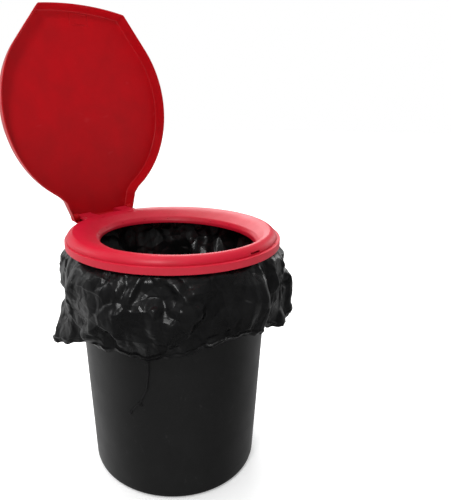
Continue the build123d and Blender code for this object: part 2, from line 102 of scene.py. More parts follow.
# The cuff's chance folds, steep ones under the seat and slanting ones below: spans of the height
# of a fold's middle, the spread of its lean in radians, spans of half its length and half its width.
STEEP_FOLD = ((0.335, 0.355), 0.25, (0.008, 0.020), (0.006, 0.011))
SLANTING_FOLD = ((0.262, 0.325), 0.7, (0.010, 0.034), (0.008, 0.017))

# Facets of the film: depth, width of a cell, how many times taller it is, and the seed.
CUFF_FACETS = [(0.0080, 0.064, 1.0, 11), (0.0034, 0.032, 1.4, 23)]
CUFF_FINE = (0.0005, 0.0130, 1.4, 37)
CUFF_GATHER = (0.0014, 0.015, 4.5, 51)
FLOOR_SLACK = [(0.004, 0.045, 1, 5), (0.0015, 0.018, 1, 6)]

# Pleats of the bag: depth, how far it swings about that depth, and the rest as for the facets.
BAG_PLEATS = [(0.0160, 0.9, 0.050, 3.0, 71), (0.0055, 1.0, 0.024, 4.0, 83), (0.0004, 1.0, 0.010, 1.8, 97)]

# Square soft lights: name, degrees round to the right from the camera's side, degrees above
# level, distance from the object, size in metres and power in watts.
WINDOWS = [
    ("left window", -102, 26, 1.3, 0.4, 1.6), ("right window", 130, 14, 1.6, 0.5, 2),
    ("top window", -20, 46, 1.3, 0.20, 4.8), ("back window", 184, 32, 1.7, 1.3, 15),
]

# Glows of the surround: the same two angles, and strength.
GLOWS = [(-132, -14, 0.66), (0, -25, 0.18), (150, -10, 0.42), (0, 80, 0.35)]


# ---------------------------------------------------------------- settings

def length(name, text, default):
    """A length that a user can change, in metres."""
    return FloatProperty(name=name, description=text, default=default, unit="LENGTH", subtype="DISTANCE")


def colour(name, text, default):
    """A colour that a user can change."""
    return FloatVectorProperty(name=name, description=text, default=default, size=3, min=0, max=1,
                               subtype="COLOR")


class PailSettings(bpy.types.PropertyGroup):
    base_radius: length("Base radius", "Outside of the wall where it meets the foot", 0.131)
    top_radius: length("Top radius", "Outside of the tapered wall at the rim", 0.1462)
    wall: length("Wall", "Thickness of the wall", 0.0023)
    floor: length("Floor", "Thickness of the base", 0.003)
    recess: length("Base recess", "How far the base stands above the foot ring", 0.002)
    foot: length("Foot", "Height of the stepped-in foot", 0.008)
    step: length("Foot step", "How much smaller the foot is than the wall above it", 0.0009)
    bead: length("Rim bead", "Height of the bead round the rim", 0.010)
    collar_radius: length("Collar radius", "Outside of the stiffening collars", 0.1505)
    ear_radius: length("Ear radius", "Radius of the bosses that carry the bail", 0.011)
    ear_face: length("Ear face", "From the pail's axis to an ear's outer face", 0.154)
    columns: IntProperty(name="Columns", description="Faces round the pail", default=256, min=16)


class BailSettings(bpy.types.PropertyGroup):
    wire: length("Wire", "Diameter of the wire", 0.004)
    bend: length("Bend", "Centre-line radius of the turn into an ear", 0.003)
    leg: length("Leg", "Straight stretch beside an ear", 0.036)
    hang: FloatProperty(name="Hang", description="How far below level the bail rests",
                        default=math.radians(38), unit="ROTATION", subtype="ANGLE")
    grip_radius: length("Grip radius", "Outside of the grip", 0.0095)
    grip_length: length("Grip length", "Length of the grip along the wire", 0.095)
    flutes: IntProperty(name="Flutes", description="Finger flutes round the grip", default=14, min=3)


class SeatSettings(bpy.types.PropertyGroup):
    skirt: length("Skirt", "Thickness of the skirt that hangs over the rim", 0.0025)
    ledge: length("Ledge", "Height of the ledge above the skirt's lower edge", 0.0104)
    ledge_plate: length("Ledge plate", "Thickness of the ledge", 0.002)
    body: length("Body", "Radius of the rounded body where it rises from the ledge", 0.1569)
    back: length("Back", "Centre of that body behind the pail's axis", 0.002)
    crown: length("Crown", "Radius of the highest ring, about the same centre", 0.1460)
    skin: length("Skin", "Thickness of the top", 0.003)
    half_width: length("Opening half-width", "Half the oval opening from side to side", 0.107)
    half_depth: length("Opening half-depth", "Half the oval opening from front to back", 0.123)
    forward: length("Opening forward", "Opening's centre in front of the pail's axis", 0.007)
    edge_drop: length("Edge drop", "How far the opening's edge lies below the crown", 0.0115)
    ribs: IntProperty(name="Ribs", description="Radial ribs under the top", default=18, min=3)
    lugs: IntProperty(name="Lugs", description="Snap lugs inside the skirt", default=8, min=2)
    slot_width: length("Slot width", "Width of the latch slot at the front", 0.019)
    bevel: FloatProperty(name="Bevel", description="Power that flattens the round-over: 1 is an ellipse",
                         default=1.14, min=1, max=2)
    columns: IntProperty(name="Columns", description="Faces round the ring", default=480, min=32)


class LidSettings(bpy.types.PropertyGroup):
    gap: length("Rest gap", "Gap over the ledge when the lid is closed", 0.0003)
    radius: length("Radius", "Outside of the rim", 0.1590)
    centre: length("Centre", "Centre of the round behind the pail's axis", 0.002)
    depth: length("Depth", "From the rim to the top of the crowned plate", 0.0243)
    crown: length("Crown", "Rise of the plate from its edge to its middle", 0.0046)
    wall: length("Wall", "Thickness of the plate and skirt", 0.0018)
    flare: FloatProperty(name="Flare", description="How much the skirt widens per unit of depth",
                         default=0.25, min=0, max=1)
    front: length("Front", "Middle of the front edge in front of the axis", 0.1570)
    corner_out: length("Corner out", "Front corner from the middle", 0.0805)
    corner_front: length("Corner front", "Front corner in front of the axis", 0.1510)
    neck: length("Neck", "Half-width where the round ends", 0.082)
    tab: length("Tab", "Half-width where the hinge tab starts", 0.072)
    tab_end: length("Tab end", "Half-width of the hinge tab's end", 0.060)
    tab_behind: length("Tab behind", "The tab ends this far behind the hinge axis", 0.010)
    columns: IntProperty(name="Columns", description="Faces round the lid", default=440, min=64)


class HingeSettings(bpy.types.PropertyGroup):
    outer: length("Outer end", "Outer end of each arm from the middle", 0.0505)
    arm: length("Arm width", "Width of each arm", 0.025)
    knuckle: length("Knuckle", "Radius of the knuckle", 0.0038)
    pin: length("Pin", "Radius of each hinge pin", 0.0025)
    pin_out: length("Pin length", "How far a pin stands out of its arm", 0.006)
    boss: length("Boss", "Radius of the lid's pin bosses", 0.006)
    side_gap: length("Side gap", "Gap between an arm and a boss", 0.0007)


class LinerSettings(bpy.types.PropertyGroup):
    gap: length("Gap", "Between the film and the pail", 0.0009)
    top: length("Top", "Where the cuff leaves the seat's skirt, below the rim", 0.0082)
    bulge: length("Bulge", "Radius of the cuff at its widest", 0.1765)
    hem_radius: length("Hem radius", "Radius of the cuff at its hem", 0.1640)
    hem_band: length("Hem band", "Width of the folded hem", 0.0075)
    clear: length("Clear of the bail", "From the pail's wall to the cuff beside the bail", 0.0230)
    columns: IntProperty(name="Columns", description="Faces round the liner", default=600, min=64)


class FinishSettings(bpy.types.PropertyGroup):
    red: colour("Red plastic", "Seat", (0.62, 0.008, 0.034))
    red_deep: colour("Deep red", "Where the red plastic is thicker or shaded", (0.54, 0.006, 0.024))
    # The lid is the same plastic as the seat. Its colour is the seat's red painted darker and warmer: painted
    # shade and a painted warm reflection for the open lid's inner face.
    lid: colour("Lid plastic", "Lid", (0.52, 0.003, 0.008))
    pail: colour("Pail plastic", "Pail", (0.007, 0.007, 0.0072))
    film: colour("Film", "Liner", (0.0035, 0.0035, 0.0037))
    steel: colour("Wire", "Bail wire", (0.60, 0.61, 0.62))
    grip: colour("Grip", "Bail grip", (0.018, 0.018, 0.019))
    string: colour("String", "Tie string", (0.005, 0.005, 0.0055))
    floor: colour("Floor", "Pale floor", (0.92, 0.92, 0.92))


class StageSettings(bpy.types.PropertyGroup):
    distance: length("Distance", "Camera from the pail's axis, along the floor", 0.7229)
    height: length("Height", "Camera above the floor", 0.5647)
    heading: FloatProperty(name="Heading", description="Side of the object that faces the camera",
                           default=math.radians(-44.3), unit="ROTATION", subtype="ANGLE")
    pan: FloatProperty(name="Pan", description="Camera turned from the axis to its right",
                       default=math.radians(2.29), unit="ROTATION", subtype="ANGLE")
    pitch: FloatProperty(name="Pitch", description="Camera turned below level",
                         default=math.radians(16.9), unit="ROTATION", subtype="ANGLE")
    lens: FloatProperty(name="Lens", description="Focal length in millimetres", default=35.53, min=1)
    shift: FloatProperty(name="Shift", description="Sideways shift that frames the object", default=0.067)


GROUPS = {"pail": PailSettings, "bail": BailSettings, "seat": SeatSettings, "lid": LidSettings,
          "hinge": HingeSettings, "liner": LinerSettings, "finish": FinishSettings, "stage": StageSettings}


class ToiletSettings(bpy.types.PropertyGroup):
    __annotations__ = {key: PointerProperty(type=group) for key, group in GROUPS.items()}


def settings():
    """The scene's settings for this object."""
    return bpy.context.scene.camp_toilet


# ---------------------------------------------------------------- surfaces

def rounded(points, radii, steps=6, closed=False):
    """A path with its corners rounded. points is (corners, ..., axes); each corner becomes a
    quadratic curve that starts and ends where a circle of its radius would touch the two runs,
    at most 0.48 of the shorter run away. Radius 0 keeps the corner."""
    points = np.asarray(points, float)
    rows = []
    last = len(points) - 1
    for k, radius in enumerate(radii):
        here = points[k]
        if radius <= 0 or (not closed and k in (0, last)):
            rows.append(here)
            continue
        back = points[k - 1] - here
        ahead = points[(k + 1) % len(points)] - here
        run_back = np.linalg.norm(back, axis=-1, keepdims=True)
        run_ahead = np.linalg.norm(ahead, axis=-1, keepdims=True)
        cosine = (back * ahead).sum(-1, keepdims=True) / (run_back * run_ahead)
        half_angle = np.arccos(np.clip(cosine, -0.9999, 0.9999)) / 2
        reach = np.minimum(radius / np.tan(half_angle), 0.48 * np.minimum(run_back, run_ahead))
        for share in np.linspace(0, 1, steps):
            from_back = (1 - share) ** 2 * back / run_back * reach
            rows.append(here + from_back + share ** 2 * ahead / run_ahead * reach)
    return np.stack(rows)


def grid_object(name, grid, wrap_rows=False, wrap_columns=True, outward=True, sharp=None):
    """Object from a grid of points (rows, columns, 3): each cell is a face. Rows that shrink to
    one point close as a pole. outward turns the faces of a closed shape outwards."""
    rows, columns = grid.shape[:2]
    index = np.arange(rows * columns).reshape(rows, columns)
    below, beside = np.roll(index, -1, 0), np.roll(index, -1, 1)
    faces = np.stack([index, below, np.roll(below, -1, 1), beside], -1)
    faces = faces if wrap_rows else faces[:-1]
    faces = faces if wrap_columns else faces[:, :-1]
    mesh = bpy.data.meshes.new(name)
    mesh.from_pydata(grid.reshape(-1, 3).tolist(), [], faces.reshape(-1, 4).tolist())
    tidy = bmesh.new()
    tidy.from_mesh(mesh)
    bmesh.ops.remove_doubles(tidy, verts=tidy.verts, dist=2e-6)
    if outward:
        bmesh.ops.recalc_face_normals(tidy, faces=tidy.faces)
    tidy.to_mesh(mesh)
    tidy.free()
    mesh.shade_smooth()
    if sharp is not None:
        mesh.set_sharp_from_angle(angle=math.radians(sharp))
    piece = bpy.data.objects.new(name, mesh)
    bpy.context.scene.collection.objects.link(piece)
    return piece


def turned(name, profile, columns, origin=(0, 0, 0), axis=(0, 0, 1), closed=True, sharp=None):
    """Surface of revolution: a profile of (radius, distance along the axis) carried round it."""
    axis = np.array(Vector(axis).normalized())
    side = np.array(Vector(axis).orthogonal().normalized())
    up = np.cross(axis, side)
    angle = np.linspace(0, 2 * np.pi, columns, endpoint=False)
    circle = np.outer(np.cos(angle), side) + np.outer(np.sin(angle), up)
    grid = profile[:, 0, None, None] * circle[None] + profile[:, 1, None, None] * axis + np.array(origin)
    return grid_object(name, grid, wrap_rows=closed, sharp=sharp)


def piped(name, centre, tangent, across, radius, columns):
    """Pipe along a flat path: at each point a ring of the given radius, one row of radii per
    point, stands square to the path. across is the direction square to the path's plane."""
    angle = np.linspace(0, 2 * np.pi, columns, endpoint=False)
    inward = np.cross(across, tangent)
    ring = np.cos(angle)[None, :, None] * inward[:, None] + np.sin(angle)[None, :, None] * across
    return grid_object(name, centre[:, None] + radius[..., None] * ring)


def prism(name, section, along, start, end, soft):
    """Bar: a closed section carried along a direction, its two ends softened by shrinking the
    section towards its middle and closed at a point."""
    middle = section.mean(0)
    size = np.abs(section - middle).max()
    span = end - start
    stations = [(0, 0), (0, 1 - soft / size), (0.3 * soft, 1 - 0.3 * soft / size), (soft, 1)]
    stations += [(span - go, share) for go, share in reversed(stations)]
    along = np.asarray(along, float)
    rows = [middle + share * (section - middle) + (start + go) * along for go, share in stations]
    return grid_object(name, np.stack(rows), sharp=50)


def joined(name, pieces):
    """One object from several."""
    bpy.ops.object.select_all(action="DESELECT")
    for piece in pieces:
        piece.select_set(True)
    bpy.context.view_layer.objects.active = pieces[0]
    bpy.ops.object.join()
    pieces[0].name = name
    pieces[0].data.name = name
    return pieces[0]


def cut(piece, cutter):
    """Takes the cutter's space out of a piece."""
    tool = piece.modifiers.new("cut", "BOOLEAN")
    tool.operation = "DIFFERENCE"
    tool.solver = "EXACT"
    tool.object = cutter
    bpy.context.view_layer.objects.active = piece
    bpy.ops.object.modifier_apply(modifier=tool.name)
    bpy.data.objects.remove(cutter)
    piece.data.set_sharp_from_angle(angle=math.radians(35))


def block(name, low, high):
    """Closed box between two corners."""
    mesh = bpy.data.meshes.new(name)
    solid = bmesh.new()
    bmesh.ops.create_cube(solid, size=1)
    solid.to_mesh(mesh)
    solid.free()
    low, high = np.array(low), np.array(high)
    corners = np.empty(len(mesh.vertices) * 3)
    mesh.vertices.foreach_get("co", corners)
    corners = (low + high) / 2 + corners.reshape(-1, 3) * (high - low)
    mesh.vertices.foreach_set("co", corners.ravel())
    piece = bpy.data.objects.new(name, mesh)
    bpy.context.scene.collection.objects.link(piece)
    return piece


def place(piece, body, slot, material, *nodes):
    """Gives a piece its body and its material, and hides the nodes that it stands for. slot is not used."""
    piece.data.materials.clear()
    piece.data.materials.append(material)
    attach(piece, body)
    if nodes:
        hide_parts(*nodes)
    return piece


# ---------------------------------------------------------------- materials

def socket(group, name, direction, kind, default=None):
    """Adds one socket to a node group."""
    made = group.interface.new_socket(name=name, in_out=direction, socket_type=kind)
    if default is not None:
        made.default_value = default
    return made


def add(tree, kind, values=None, **links):
    """Adds a node. values sets inputs by name or number, and options by lower-case name;
    links join inputs, by name with _ for a space, to other nodes' outputs."""
    node = tree.nodes.new(kind)
    for key, value in (values or {}).items():
        if isinstance(value, bpy.types.NodeSocket):
            tree.links.new(value, node.inputs[key])
        elif isinstance(key, str) and key in node.bl_rna.properties:
            setattr(node, key, value)
        else:
            node.inputs[key].default_value = value
    for key, value in links.items():
        tree.links.new(value, node.inputs[key.replace("_", " ")])
    return node


def maths(tree, operation, first, second=0.5, clamp=False):
    """One Math node; each side is a socket or a number."""
    values = {"operation": operation, "use_clamp": clamp, 0: first, 1: second}
    return add(tree, "ShaderNodeMath", values).outputs[0]


def moulded_group():
    """Skin of a moulding: fine orange peel, slow waves where it shrank, and a few hair scratches.
    Puts out a height for bump, a scratch mask and a slow cloud for colour and roughness."""
    group = bpy.data.node_groups.get("moulded skin")
    if group:
        return group
    group = bpy.data.node_groups.new("moulded skin", "ShaderNodeTree")
    socket(group, "Vector", "INPUT", "NodeSocketVector")
    socket(group, "Peel", "INPUT", "NodeSocketFloat", 0.2)
    socket(group, "Waves", "INPUT", "NodeSocketFloat", 1.0)
    socket(group, "Scratches", "INPUT", "NodeSocketFloat", 0.3)
    socket(group, "Height", "OUTPUT", "NodeSocketFloat")
    socket(group, "Scratch", "OUTPUT", "NodeSocketFloat")
    socket(group, "Cloud", "OUTPUT", "NodeSocketFloat")
    source = group.nodes.new("NodeGroupInput").outputs
    where = source["Vector"]
    peel = add(group, "ShaderNodeTexNoise", {"Scale": 900.0, "Detail": 2.0}, Vector=where).outputs["Fac"]
    waves = add(group, "ShaderNodeTexNoise", {"Scale": 16.0, "Detail": 1.0}, Vector=where).outputs["Fac"]
    bent = add(group, "ShaderNodeTexNoise", {"Scale": 9.0, "Detail": 2.0}, Vector=where).outputs["Color"]
    shifted = add(group, "ShaderNodeMixRGB", {"Fac": 0.06}, Color1=where, Color2=bent).outputs["Color"]
    stretched = {"Rotation": (0.5, 0.9, 0.35), "Scale": (14.0, 260.0, 90.0)}
    long_ways = add(group, "ShaderNodeMapping", stretched, Vector=shifted).outputs["Vector"]
    lines = add(group, "ShaderNodeTexNoise", {"Scale": 1.0, "Detail": 1.0}, Vector=long_ways).outputs["Fac"]
    scratch = maths(group, "MULTIPLY", ranged(group, lines, 0.70, 0.78), source["Scratches"])
    cloud = add(group, "ShaderNodeTexNoise", {"Scale": 22.0, "Detail": 4.0, "Roughness": 0.6},
                Vector=where).outputs["Fac"]
    grain = maths(group, "MULTIPLY", peel, source["Peel"])
    slow = maths(group, "MULTIPLY", waves, source["Waves"])
    height = maths(group, "SUBTRACT", maths(group, "ADD", grain, slow), scratch)
    result = group.nodes.new("NodeGroupOutput").inputs
    group.links.new(height, result["Height"])
    group.links.new(scratch, result["Scratch"])
    group.links.new(cloud, result["Cloud"])
    return group


def dust_group():
    """Loose dust: fine specks, thicker on faces that look up. Puts out a mask."""
    group = bpy.data.node_groups.get("loose dust")
    if group:
        return group
    group = bpy.data.node_groups.new("loose dust", "ShaderNodeTree")
    socket(group, "Vector", "INPUT", "NodeSocketVector")
    socket(group, "Amount", "INPUT", "NodeSocketFloat", 0.2)
    socket(group, "Mask", "OUTPUT", "NodeSocketFloat")
    source = group.nodes.new("NodeGroupInput").outputs
    specks = add(group, "ShaderNodeTexNoise", {"Scale": 520.0, "Detail": 3.0, "Roughness": 0.7},
                 Vector=source["Vector"]).outputs["Fac"]
    patches = add(group, "ShaderNodeTexNoise", {"Scale": 30.0, "Detail": 3.0},
                  Vector=source["Vector"]).outputs["Fac"]
    normal = add(group, "ShaderNodeNewGeometry").outputs["Normal"]
    upward = add(group, "ShaderNodeSeparateXYZ", Vector=normal).outputs["Z"]
    facing = ranged(group, upward, -0.2, 1.0, 0.25)
    dots = ranged(group, specks, 0.56, 0.74)
    mask = maths(group, "MULTIPLY", maths(group, "MULTIPLY", dots, patches), facing)
    mask = maths(group, "MULTIPLY", mask, source["Amount"], clamp=True)
    group.links.new(mask, group.nodes.new("NodeGroupOutput").inputs["Mask"])
    return group


def new_material(name, **fixed):
    """Material with a Principled BSDF whose constant values are set on its own sockets."""
    material = bpy.data.materials.new(name)
    material.use_nodes = True
    tree = material.node_tree
    shader = tree.nodes["Principled BSDF"]
    for key, value in fixed.items():
        shader.inputs[key.replace("_", " ")].default_value = value
    where = tree.nodes.new("ShaderNodeTexCoord").outputs["Object"]
    return material, tree, shader, where


def place_group(tree, group, **values):
    """Places a node group; a socket is linked and a number is set."""
    node = tree.nodes.new("ShaderNodeGroup")
    node.node_tree = group
    for key, value in values.items():
        if isinstance(value, bpy.types.NodeSocket):
            tree.links.new(value, node.inputs[key])
        else:
            node.inputs[key].default_value = value
    return node.outputs


def mixed(tree, factor, first, second):
    """Mix of two colours; each is a socket or a colour of three numbers."""
    values = {"Fac": factor}
    for key, value in (("Color1", first), ("Color2", second)):
        values[key] = value if isinstance(value, bpy.types.NodeSocket) else (*value, 1.0)
    return add(tree, "ShaderNodeMixRGB", values).outputs["Color"]


def ranged(tree, value, low, high, to_low=0.0, to_high=1.0):
    """Map Range from one span to another, held at its ends."""
    return add(tree, "ShaderNodeMapRange", {"From Min": low, "From Max": high, "To Min": to_low,
                                            "To Max": to_high, "Value": value}).outputs["Result"]


def bumped(tree, shader, height, strength, distance):
    """Bump on the shader's normal."""
    bump = add(tree, "ShaderNodeBump", {"Strength": strength, "Distance": distance, "Height": height})
    tree.links.new(bump.outputs["Normal"], shader.inputs["Normal"])


def plastic(name, main, deep, dust, roughness, peel, waves, scratches, **fixed):
    """Moulded plastic: slow clouds of a deeper colour, dust, scuffs, orange peel and waves."""
    material, tree, shader, where = new_material(name, **fixed)
    skin = place_group(tree, moulded_group(), Vector=where, Peel=peel, Waves=waves, Scratches=scratches)
    mask = place_group(tree, dust_group(), Vector=where, Amount=dust)["Mask"]
    cloud = ranged(tree, skin["Cloud"], 0.35, 0.70)
    base = mixed(tree, cloud, main, deep)
    scuff = tuple(min(1, c + 0.12) for c in main)
    scuffed = mixed(tree, maths(tree, "MULTIPLY", skin["Scratch"], 0.35), base, scuff)
    dusty = mixed(tree, mask, scuffed, (0.55, 0.52, 0.48))
    tree.links.new(dusty, shader.inputs["Base Color"])
    rough = ranged(tree, skin["Cloud"], 0.3, 0.75, roughness - 0.04, roughness + 0.05)
    rough = maths(tree, "ADD", rough, maths(tree, "MULTIPLY", skin["Scratch"], 0.25))
    rough = maths(tree, "ADD", rough, maths(tree, "MULTIPLY", mask, 0.4), clamp=True)
    tree.links.new(rough, shader.inputs["Roughness"])
    bumped(tree, shader, skin["Height"], 0.5, 0.0004)
    return material


def red_plastic():
    finish = settings().finish
    return bpy.data.materials.get("red moulding") or plastic(
        "red moulding", finish.red, finish.red_deep, dust=0.05, roughness=0.42, peel=0.10, waves=0.9,
        scratches=0.18, Specular_IOR_Level=0.40)


def lid_plastic_in_painted_shade():
    # Same plastic as the seat. The lid's colour and its deeper tone carry painted shade and a painted warm
    # reflection.
    finish = settings().finish
    return bpy.data.materials.get("lid moulding in painted shade") or plastic(
        "lid moulding in painted shade", finish.lid, tuple(0.85 * c for c in finish.lid), dust=0.05, roughness=0.36, peel=0.10,
        waves=0.9, scratches=0.18, Specular_IOR_Level=0.22)


def pail_plastic():
    finish = settings().finish
    return bpy.data.materials.get("pail moulding") or plastic(
        "pail moulding", finish.pail, tuple(0.8 * c for c in finish.pail), dust=0.10, roughness=0.40,
        peel=0.16, waves=0.8, scratches=0.25)


def grip_plastic():
    finish = settings().finish
    return bpy.data.materials.get("grip moulding") or plastic(
        "grip moulding", finish.grip, tuple(0.7 * c for c in finish.grip), dust=0.12, roughness=0.45,
        peel=0.4, waves=0.6, scratches=0.3)


def film_material():
    """Thin glossy film with a slightly cloudy gloss. Its bump is facets of two sizes that meet in
    creases: squared distance to the nearest of one set of points less that of another set."""
    material = bpy.data.materials.get("liner film")
    if material:
        return material
    material, tree, shader, where = new_material("liner film", Specular_IOR_Level=0.30)
    film = settings().finish.film
    cloud = add(tree, "ShaderNodeTexNoise", {"Scale": 30.0, "Detail": 4.0}, Vector=where).outputs["Fac"]
    base = mixed(tree, ranged(tree, cloud, 0.35, 0.7), film, tuple(1.8 * c for c in film))
    tree.links.new(base, shader.inputs["Base Color"])
    tree.links.new(ranged(tree, cloud, 0.3, 0.7, 0.25, 0.35), shader.inputs["Roughness"])
    total = None
    for scale, depth in ((26.0, 0.0048), (62.0, 0.0010)):
        near = [add(tree, "ShaderNodeTexVoronoi", {"Scale": scale * more, "feature": "F1"}, Vector=where)
                .outputs["Distance"] for more in (1.0, 1.13)]
        squares = [maths(tree, "MULTIPLY", distance, distance) for distance in near]
        facet = maths(tree, "MULTIPLY", maths(tree, "SUBTRACT", *squares), depth * 1000)
        total = facet if total is None else maths(tree, "ADD", total, facet)
    bumped(tree, shader, total, 1.0, 0.001)
    return material


def steel_material():
    """Zinc-plated wire: fine draw lines across its gloss, with dull patches."""
    material = bpy.data.materials.get("plated wire")
    if material:
        return material
    material, tree, shader, where = new_material("plated wire", Metallic=1.0)
    steel = settings().finish.steel
    patches = add(tree, "ShaderNodeTexNoise", {"Scale": 160.0, "Detail": 5.0}, Vector=where).outputs["Fac"]
    base = mixed(tree, ranged(tree, patches, 0.4, 0.65), steel, tuple(0.62 * c for c in steel))
    tree.links.new(base, shader.inputs["Base Color"])
    tree.links.new(ranged(tree, patches, 0.35, 0.7, 0.25, 0.5), shader.inputs["Roughness"])
    bumped(tree, shader, patches, 0.3, 0.0002)
    return material


def string_material():
    """Twisted string: slanting strands and lint."""
    material = bpy.data.materials.get("tie string")
    if material:
        return material
    material, tree, shader, where = new_material("tie string", Roughness=0.75)
    string = settings().finish.string
    slanted = {"Rotation": (0.6, 0.4, 0.0), "Scale": (700.0, 700.0, 420.0)}
    slanting = add(tree, "ShaderNodeMapping", slanted, Vector=where).outputs["Vector"]
    strands = add(tree, "ShaderNodeTexNoise", {"Scale": 1.0, "Detail": 2.0}, Vector=slanting).outputs["Fac"]
    base = mixed(tree, ranged(tree, strands, 0.4, 0.7), string, tuple(2.2 * c for c in string))
    tree.links.new(base, shader.inputs["Base Color"])
    bumped(tree, shader, strands, 0.6, 0.0004)
    return material


# ---------------------------------------------------------------- tie string

class MakeString(bpy.types.Operator):
    """Tie string that lies down the pail from inside the cuff, with its knots"""
    bl_idname = "camp_toilet.tie_string"
    bl_label = "Tie String"

    diameter: length("Diameter", "Diameter of the string", 0.0020)
    run: length("Length", "Length of the string", 0.141)

    def execute(self, context):
        curve = bpy.data.curves.new("tie_cord", "CURVE")
        curve.dimensions = "3D"
        curve.bevel_depth = self.diameter / 2
        curve.bevel_resolution = 4
        curve.resolution_u = 10
        curve.use_fill_caps = True
        spline = curve.splines.new("NURBS")
        spline.points.add(len(STRING_POINTS) - 1)
        spline.points.foreach_set("co", np.column_stack([STRING_POINTS, np.ones(len(STRING_POINTS))]).ravel())
        spline.order_u = 3
        spline.use_endpoint_u = True
        string = bpy.data.objects.new("tie_cord", curve)
        context.scene.collection.objects.link(string)
        place(string, "pail", "string", string_material(), "tie_string")
        line = line_of(curve)
        middle, fork = (line[int(share * len(line))] for share in (0.56, 0.80))
        knots = [self.knot(line[-1], 1.0), self.knot(middle, 0.62), self.knot(fork, 0.8)]
        knot = joined("tie_cord_knots", knots + self.branch(fork))
        place(knot, "pail", "string", string_material(), "tie_knot")
        return {"FINISHED"}

    def branch(self, fork):
        """Cut end that leaves the fork's knot sideways: a short pipe, thinner than the string,
        that bends down to a small blob."""
        bend, thickness = 0.0045, 0.0014
        heading = settings().stage.heading
        right = np.array((math.cos(heading), math.sin(heading), 0))
        across = np.array((math.sin(heading), -math.cos(heading), 0))
        up = np.array((0, 0, 1))
        turn = np.linspace(0, math.radians(70), 10)[:, None]
        centre = fork + bend * (np.sin(turn) * right - (1 - np.cos(turn)) * up)
        tangent = np.cos(turn) * right - np.sin(turn) * up
        radius = np.full((len(turn), 1), thickness / 2)
        return [piped("cut_end", centre, tangent, across, radius, 12), self.knot(centre[-1], 0.6)]

    def knot(self, centre, scale):
        """Overhand knot: a ball whose radius swells and sinks along three slanting strands."""
        size, swell, taller = 0.0023 * scale, 0.13, 1.15
        polar = np.linspace(0, np.pi, 24)[:, None]
        turn = np.linspace(0, 2 * np.pi, 36, endpoint=False)[None]
        radius = size * (1 + swell * np.sin(3 * turn + 4 * polar) * np.sin(polar))
        ball = np.stack([radius * np.sin(polar) * np.cos(turn), radius * np.sin(polar) * np.sin(turn),
                         taller * radius * np.cos(polar)], -1)
        return grid_object("knot", ball + np.array(centre))


def line_of(curve):
    """Points along a curve's own spline, with no bevel."""
    bare = curve.copy()
    bare.bevel_depth = 0
    carrier = bpy.data.objects.new("line", bare)
    bpy.context.scene.collection.objects.link(carrier)
    bpy.context.view_layer.update()
    mesh = bpy.data.meshes.new_from_object(carrier)
    points = np.empty(len(mesh.vertices) * 3)
    mesh.vertices.foreach_get("co", points)
    bpy.data.objects.remove(carrier)
    bpy.data.curves.remove(bare)
    bpy.data.meshes.remove(mesh)
    return points.reshape(-1, 3)


# ---------------------------------------------------------------- pail

def pail_radius(height):
    """Outside of the tapered wall at a height."""
    pail = settings().pail
    return pail.base_radius + (pail.top_radius - pail.base_radius) * height / PAIL_HEIGHT


class MakePail(bpy.types.Operator):
    """Pail with its stepped foot, ribbed base, collars, rim bead and bail ears"""
    bl_idname = "camp_toilet.pail"
    bl_label = "Pail"

    def execute(self, context):
        pail = settings().pail
        body = turned("pail_body", self.profile(pail), pail.columns, sharp=50)
        place(body, "pail", "pail_plastic", pail_plastic(), "pail")
        root = pail_radius(BAIL_PIVOT.z) - pail.wall / 2
        ears = [self.ear(pail, root, side) for side in (1, -1)]
        place(joined("pail_ears", ears), "pail", "pail_plastic", pail_plastic())
        return {"FINISHED"}

    def profile(self, pail):
        """Closed outline of the wall and base: up the outside with its foot step, two collars and
        rim bead, down the inside, and across the base."""
        foot = pail_radius(0) - pail.step
        foot_slope = pail.foot + 0.0006
        inside = pail.floor + pail.recess
        bead = PAIL_HEIGHT - pail.bead
        middle, collar, soft, edge = 0.15, 0.0025, 0.0005, 0.0008
        corners = [(0, pail.recess, 0)]
        for near, far, slope in ((0.0160, 0.0206, 0.0006), (0.0715, 0.0760, 0.0005)):
            corners += [(near, pail.recess, soft), (near + slope, 0.0004, soft),
                        (far - slope, 0.0004, soft), (far, pail.recess, soft)]
        corners += [(foot - 0.0125, pail.recess, 0.001), (foot - 0.0115, 0, 0.001),
                    (foot - 0.0035, 0, 0.0025), (foot, 0.0042, 0.0025),
                    (pail_radius(pail.foot) - pail.step, pail.foot, 0.0002),
                    (pail_radius(pail.foot), foot_slope, 0.0006), (pail_radius(middle), middle, 0)]
        for low in (PAIL_HEIGHT - 0.044, PAIL_HEIGHT - 0.024):
            corners += [(pail_radius(low), low, edge), (pail.collar_radius, low, edge),
                        (pail.collar_radius, low + collar, edge), (pail_radius(low), low + collar, edge)]
        corners += [(pail_radius(bead), bead, 0.001), (RIM_RADIUS, bead, 0.003),
                    (RIM_RADIUS, PAIL_HEIGHT, 0.0045), (pail.top_radius - pail.wall, PAIL_HEIGHT, 0.002),
                    (pail_radius(middle) - pail.wall, middle, 0),
                    (pail_radius(inside) - pail.wall, inside, 0.006), (0, inside, 0)]
        corners = np.array(corners)
        return rounded(corners[:, :2], corners[:, 2])

    def ear(self, pail, root, side):
        """Boss with a raised lip round its blind hole, turned about the bail's axis."""
        hole = settings().bail.wire / 2 + 0.0003
        face, radius = pail.ear_face, pail.ear_radius
        groove, bottom = face - 0.0016, face - 0.0075
        corners = [(0, root), (radius + 0.0015, root), (radius, root + 0.003), (radius, face),
                   (radius - 0.0022, face), (radius - 0.0026, groove), (hole + 0.0022, groove),
                   (hole + 0.0018, face), (hole, face), (hole, bottom), (0, bottom)]
        outline = rounded(corners, [0, 0.001, 0.002, 0.001, 0.0004, 0.0004, 0.0004, 0.0004, 0.0004, 0, 0], 5)
        return turned("ear", outline, 64, origin=BAIL_PIVOT, axis=BAIL_AXIS * side, sharp=50)


# ---------------------------------------------------------------- bail

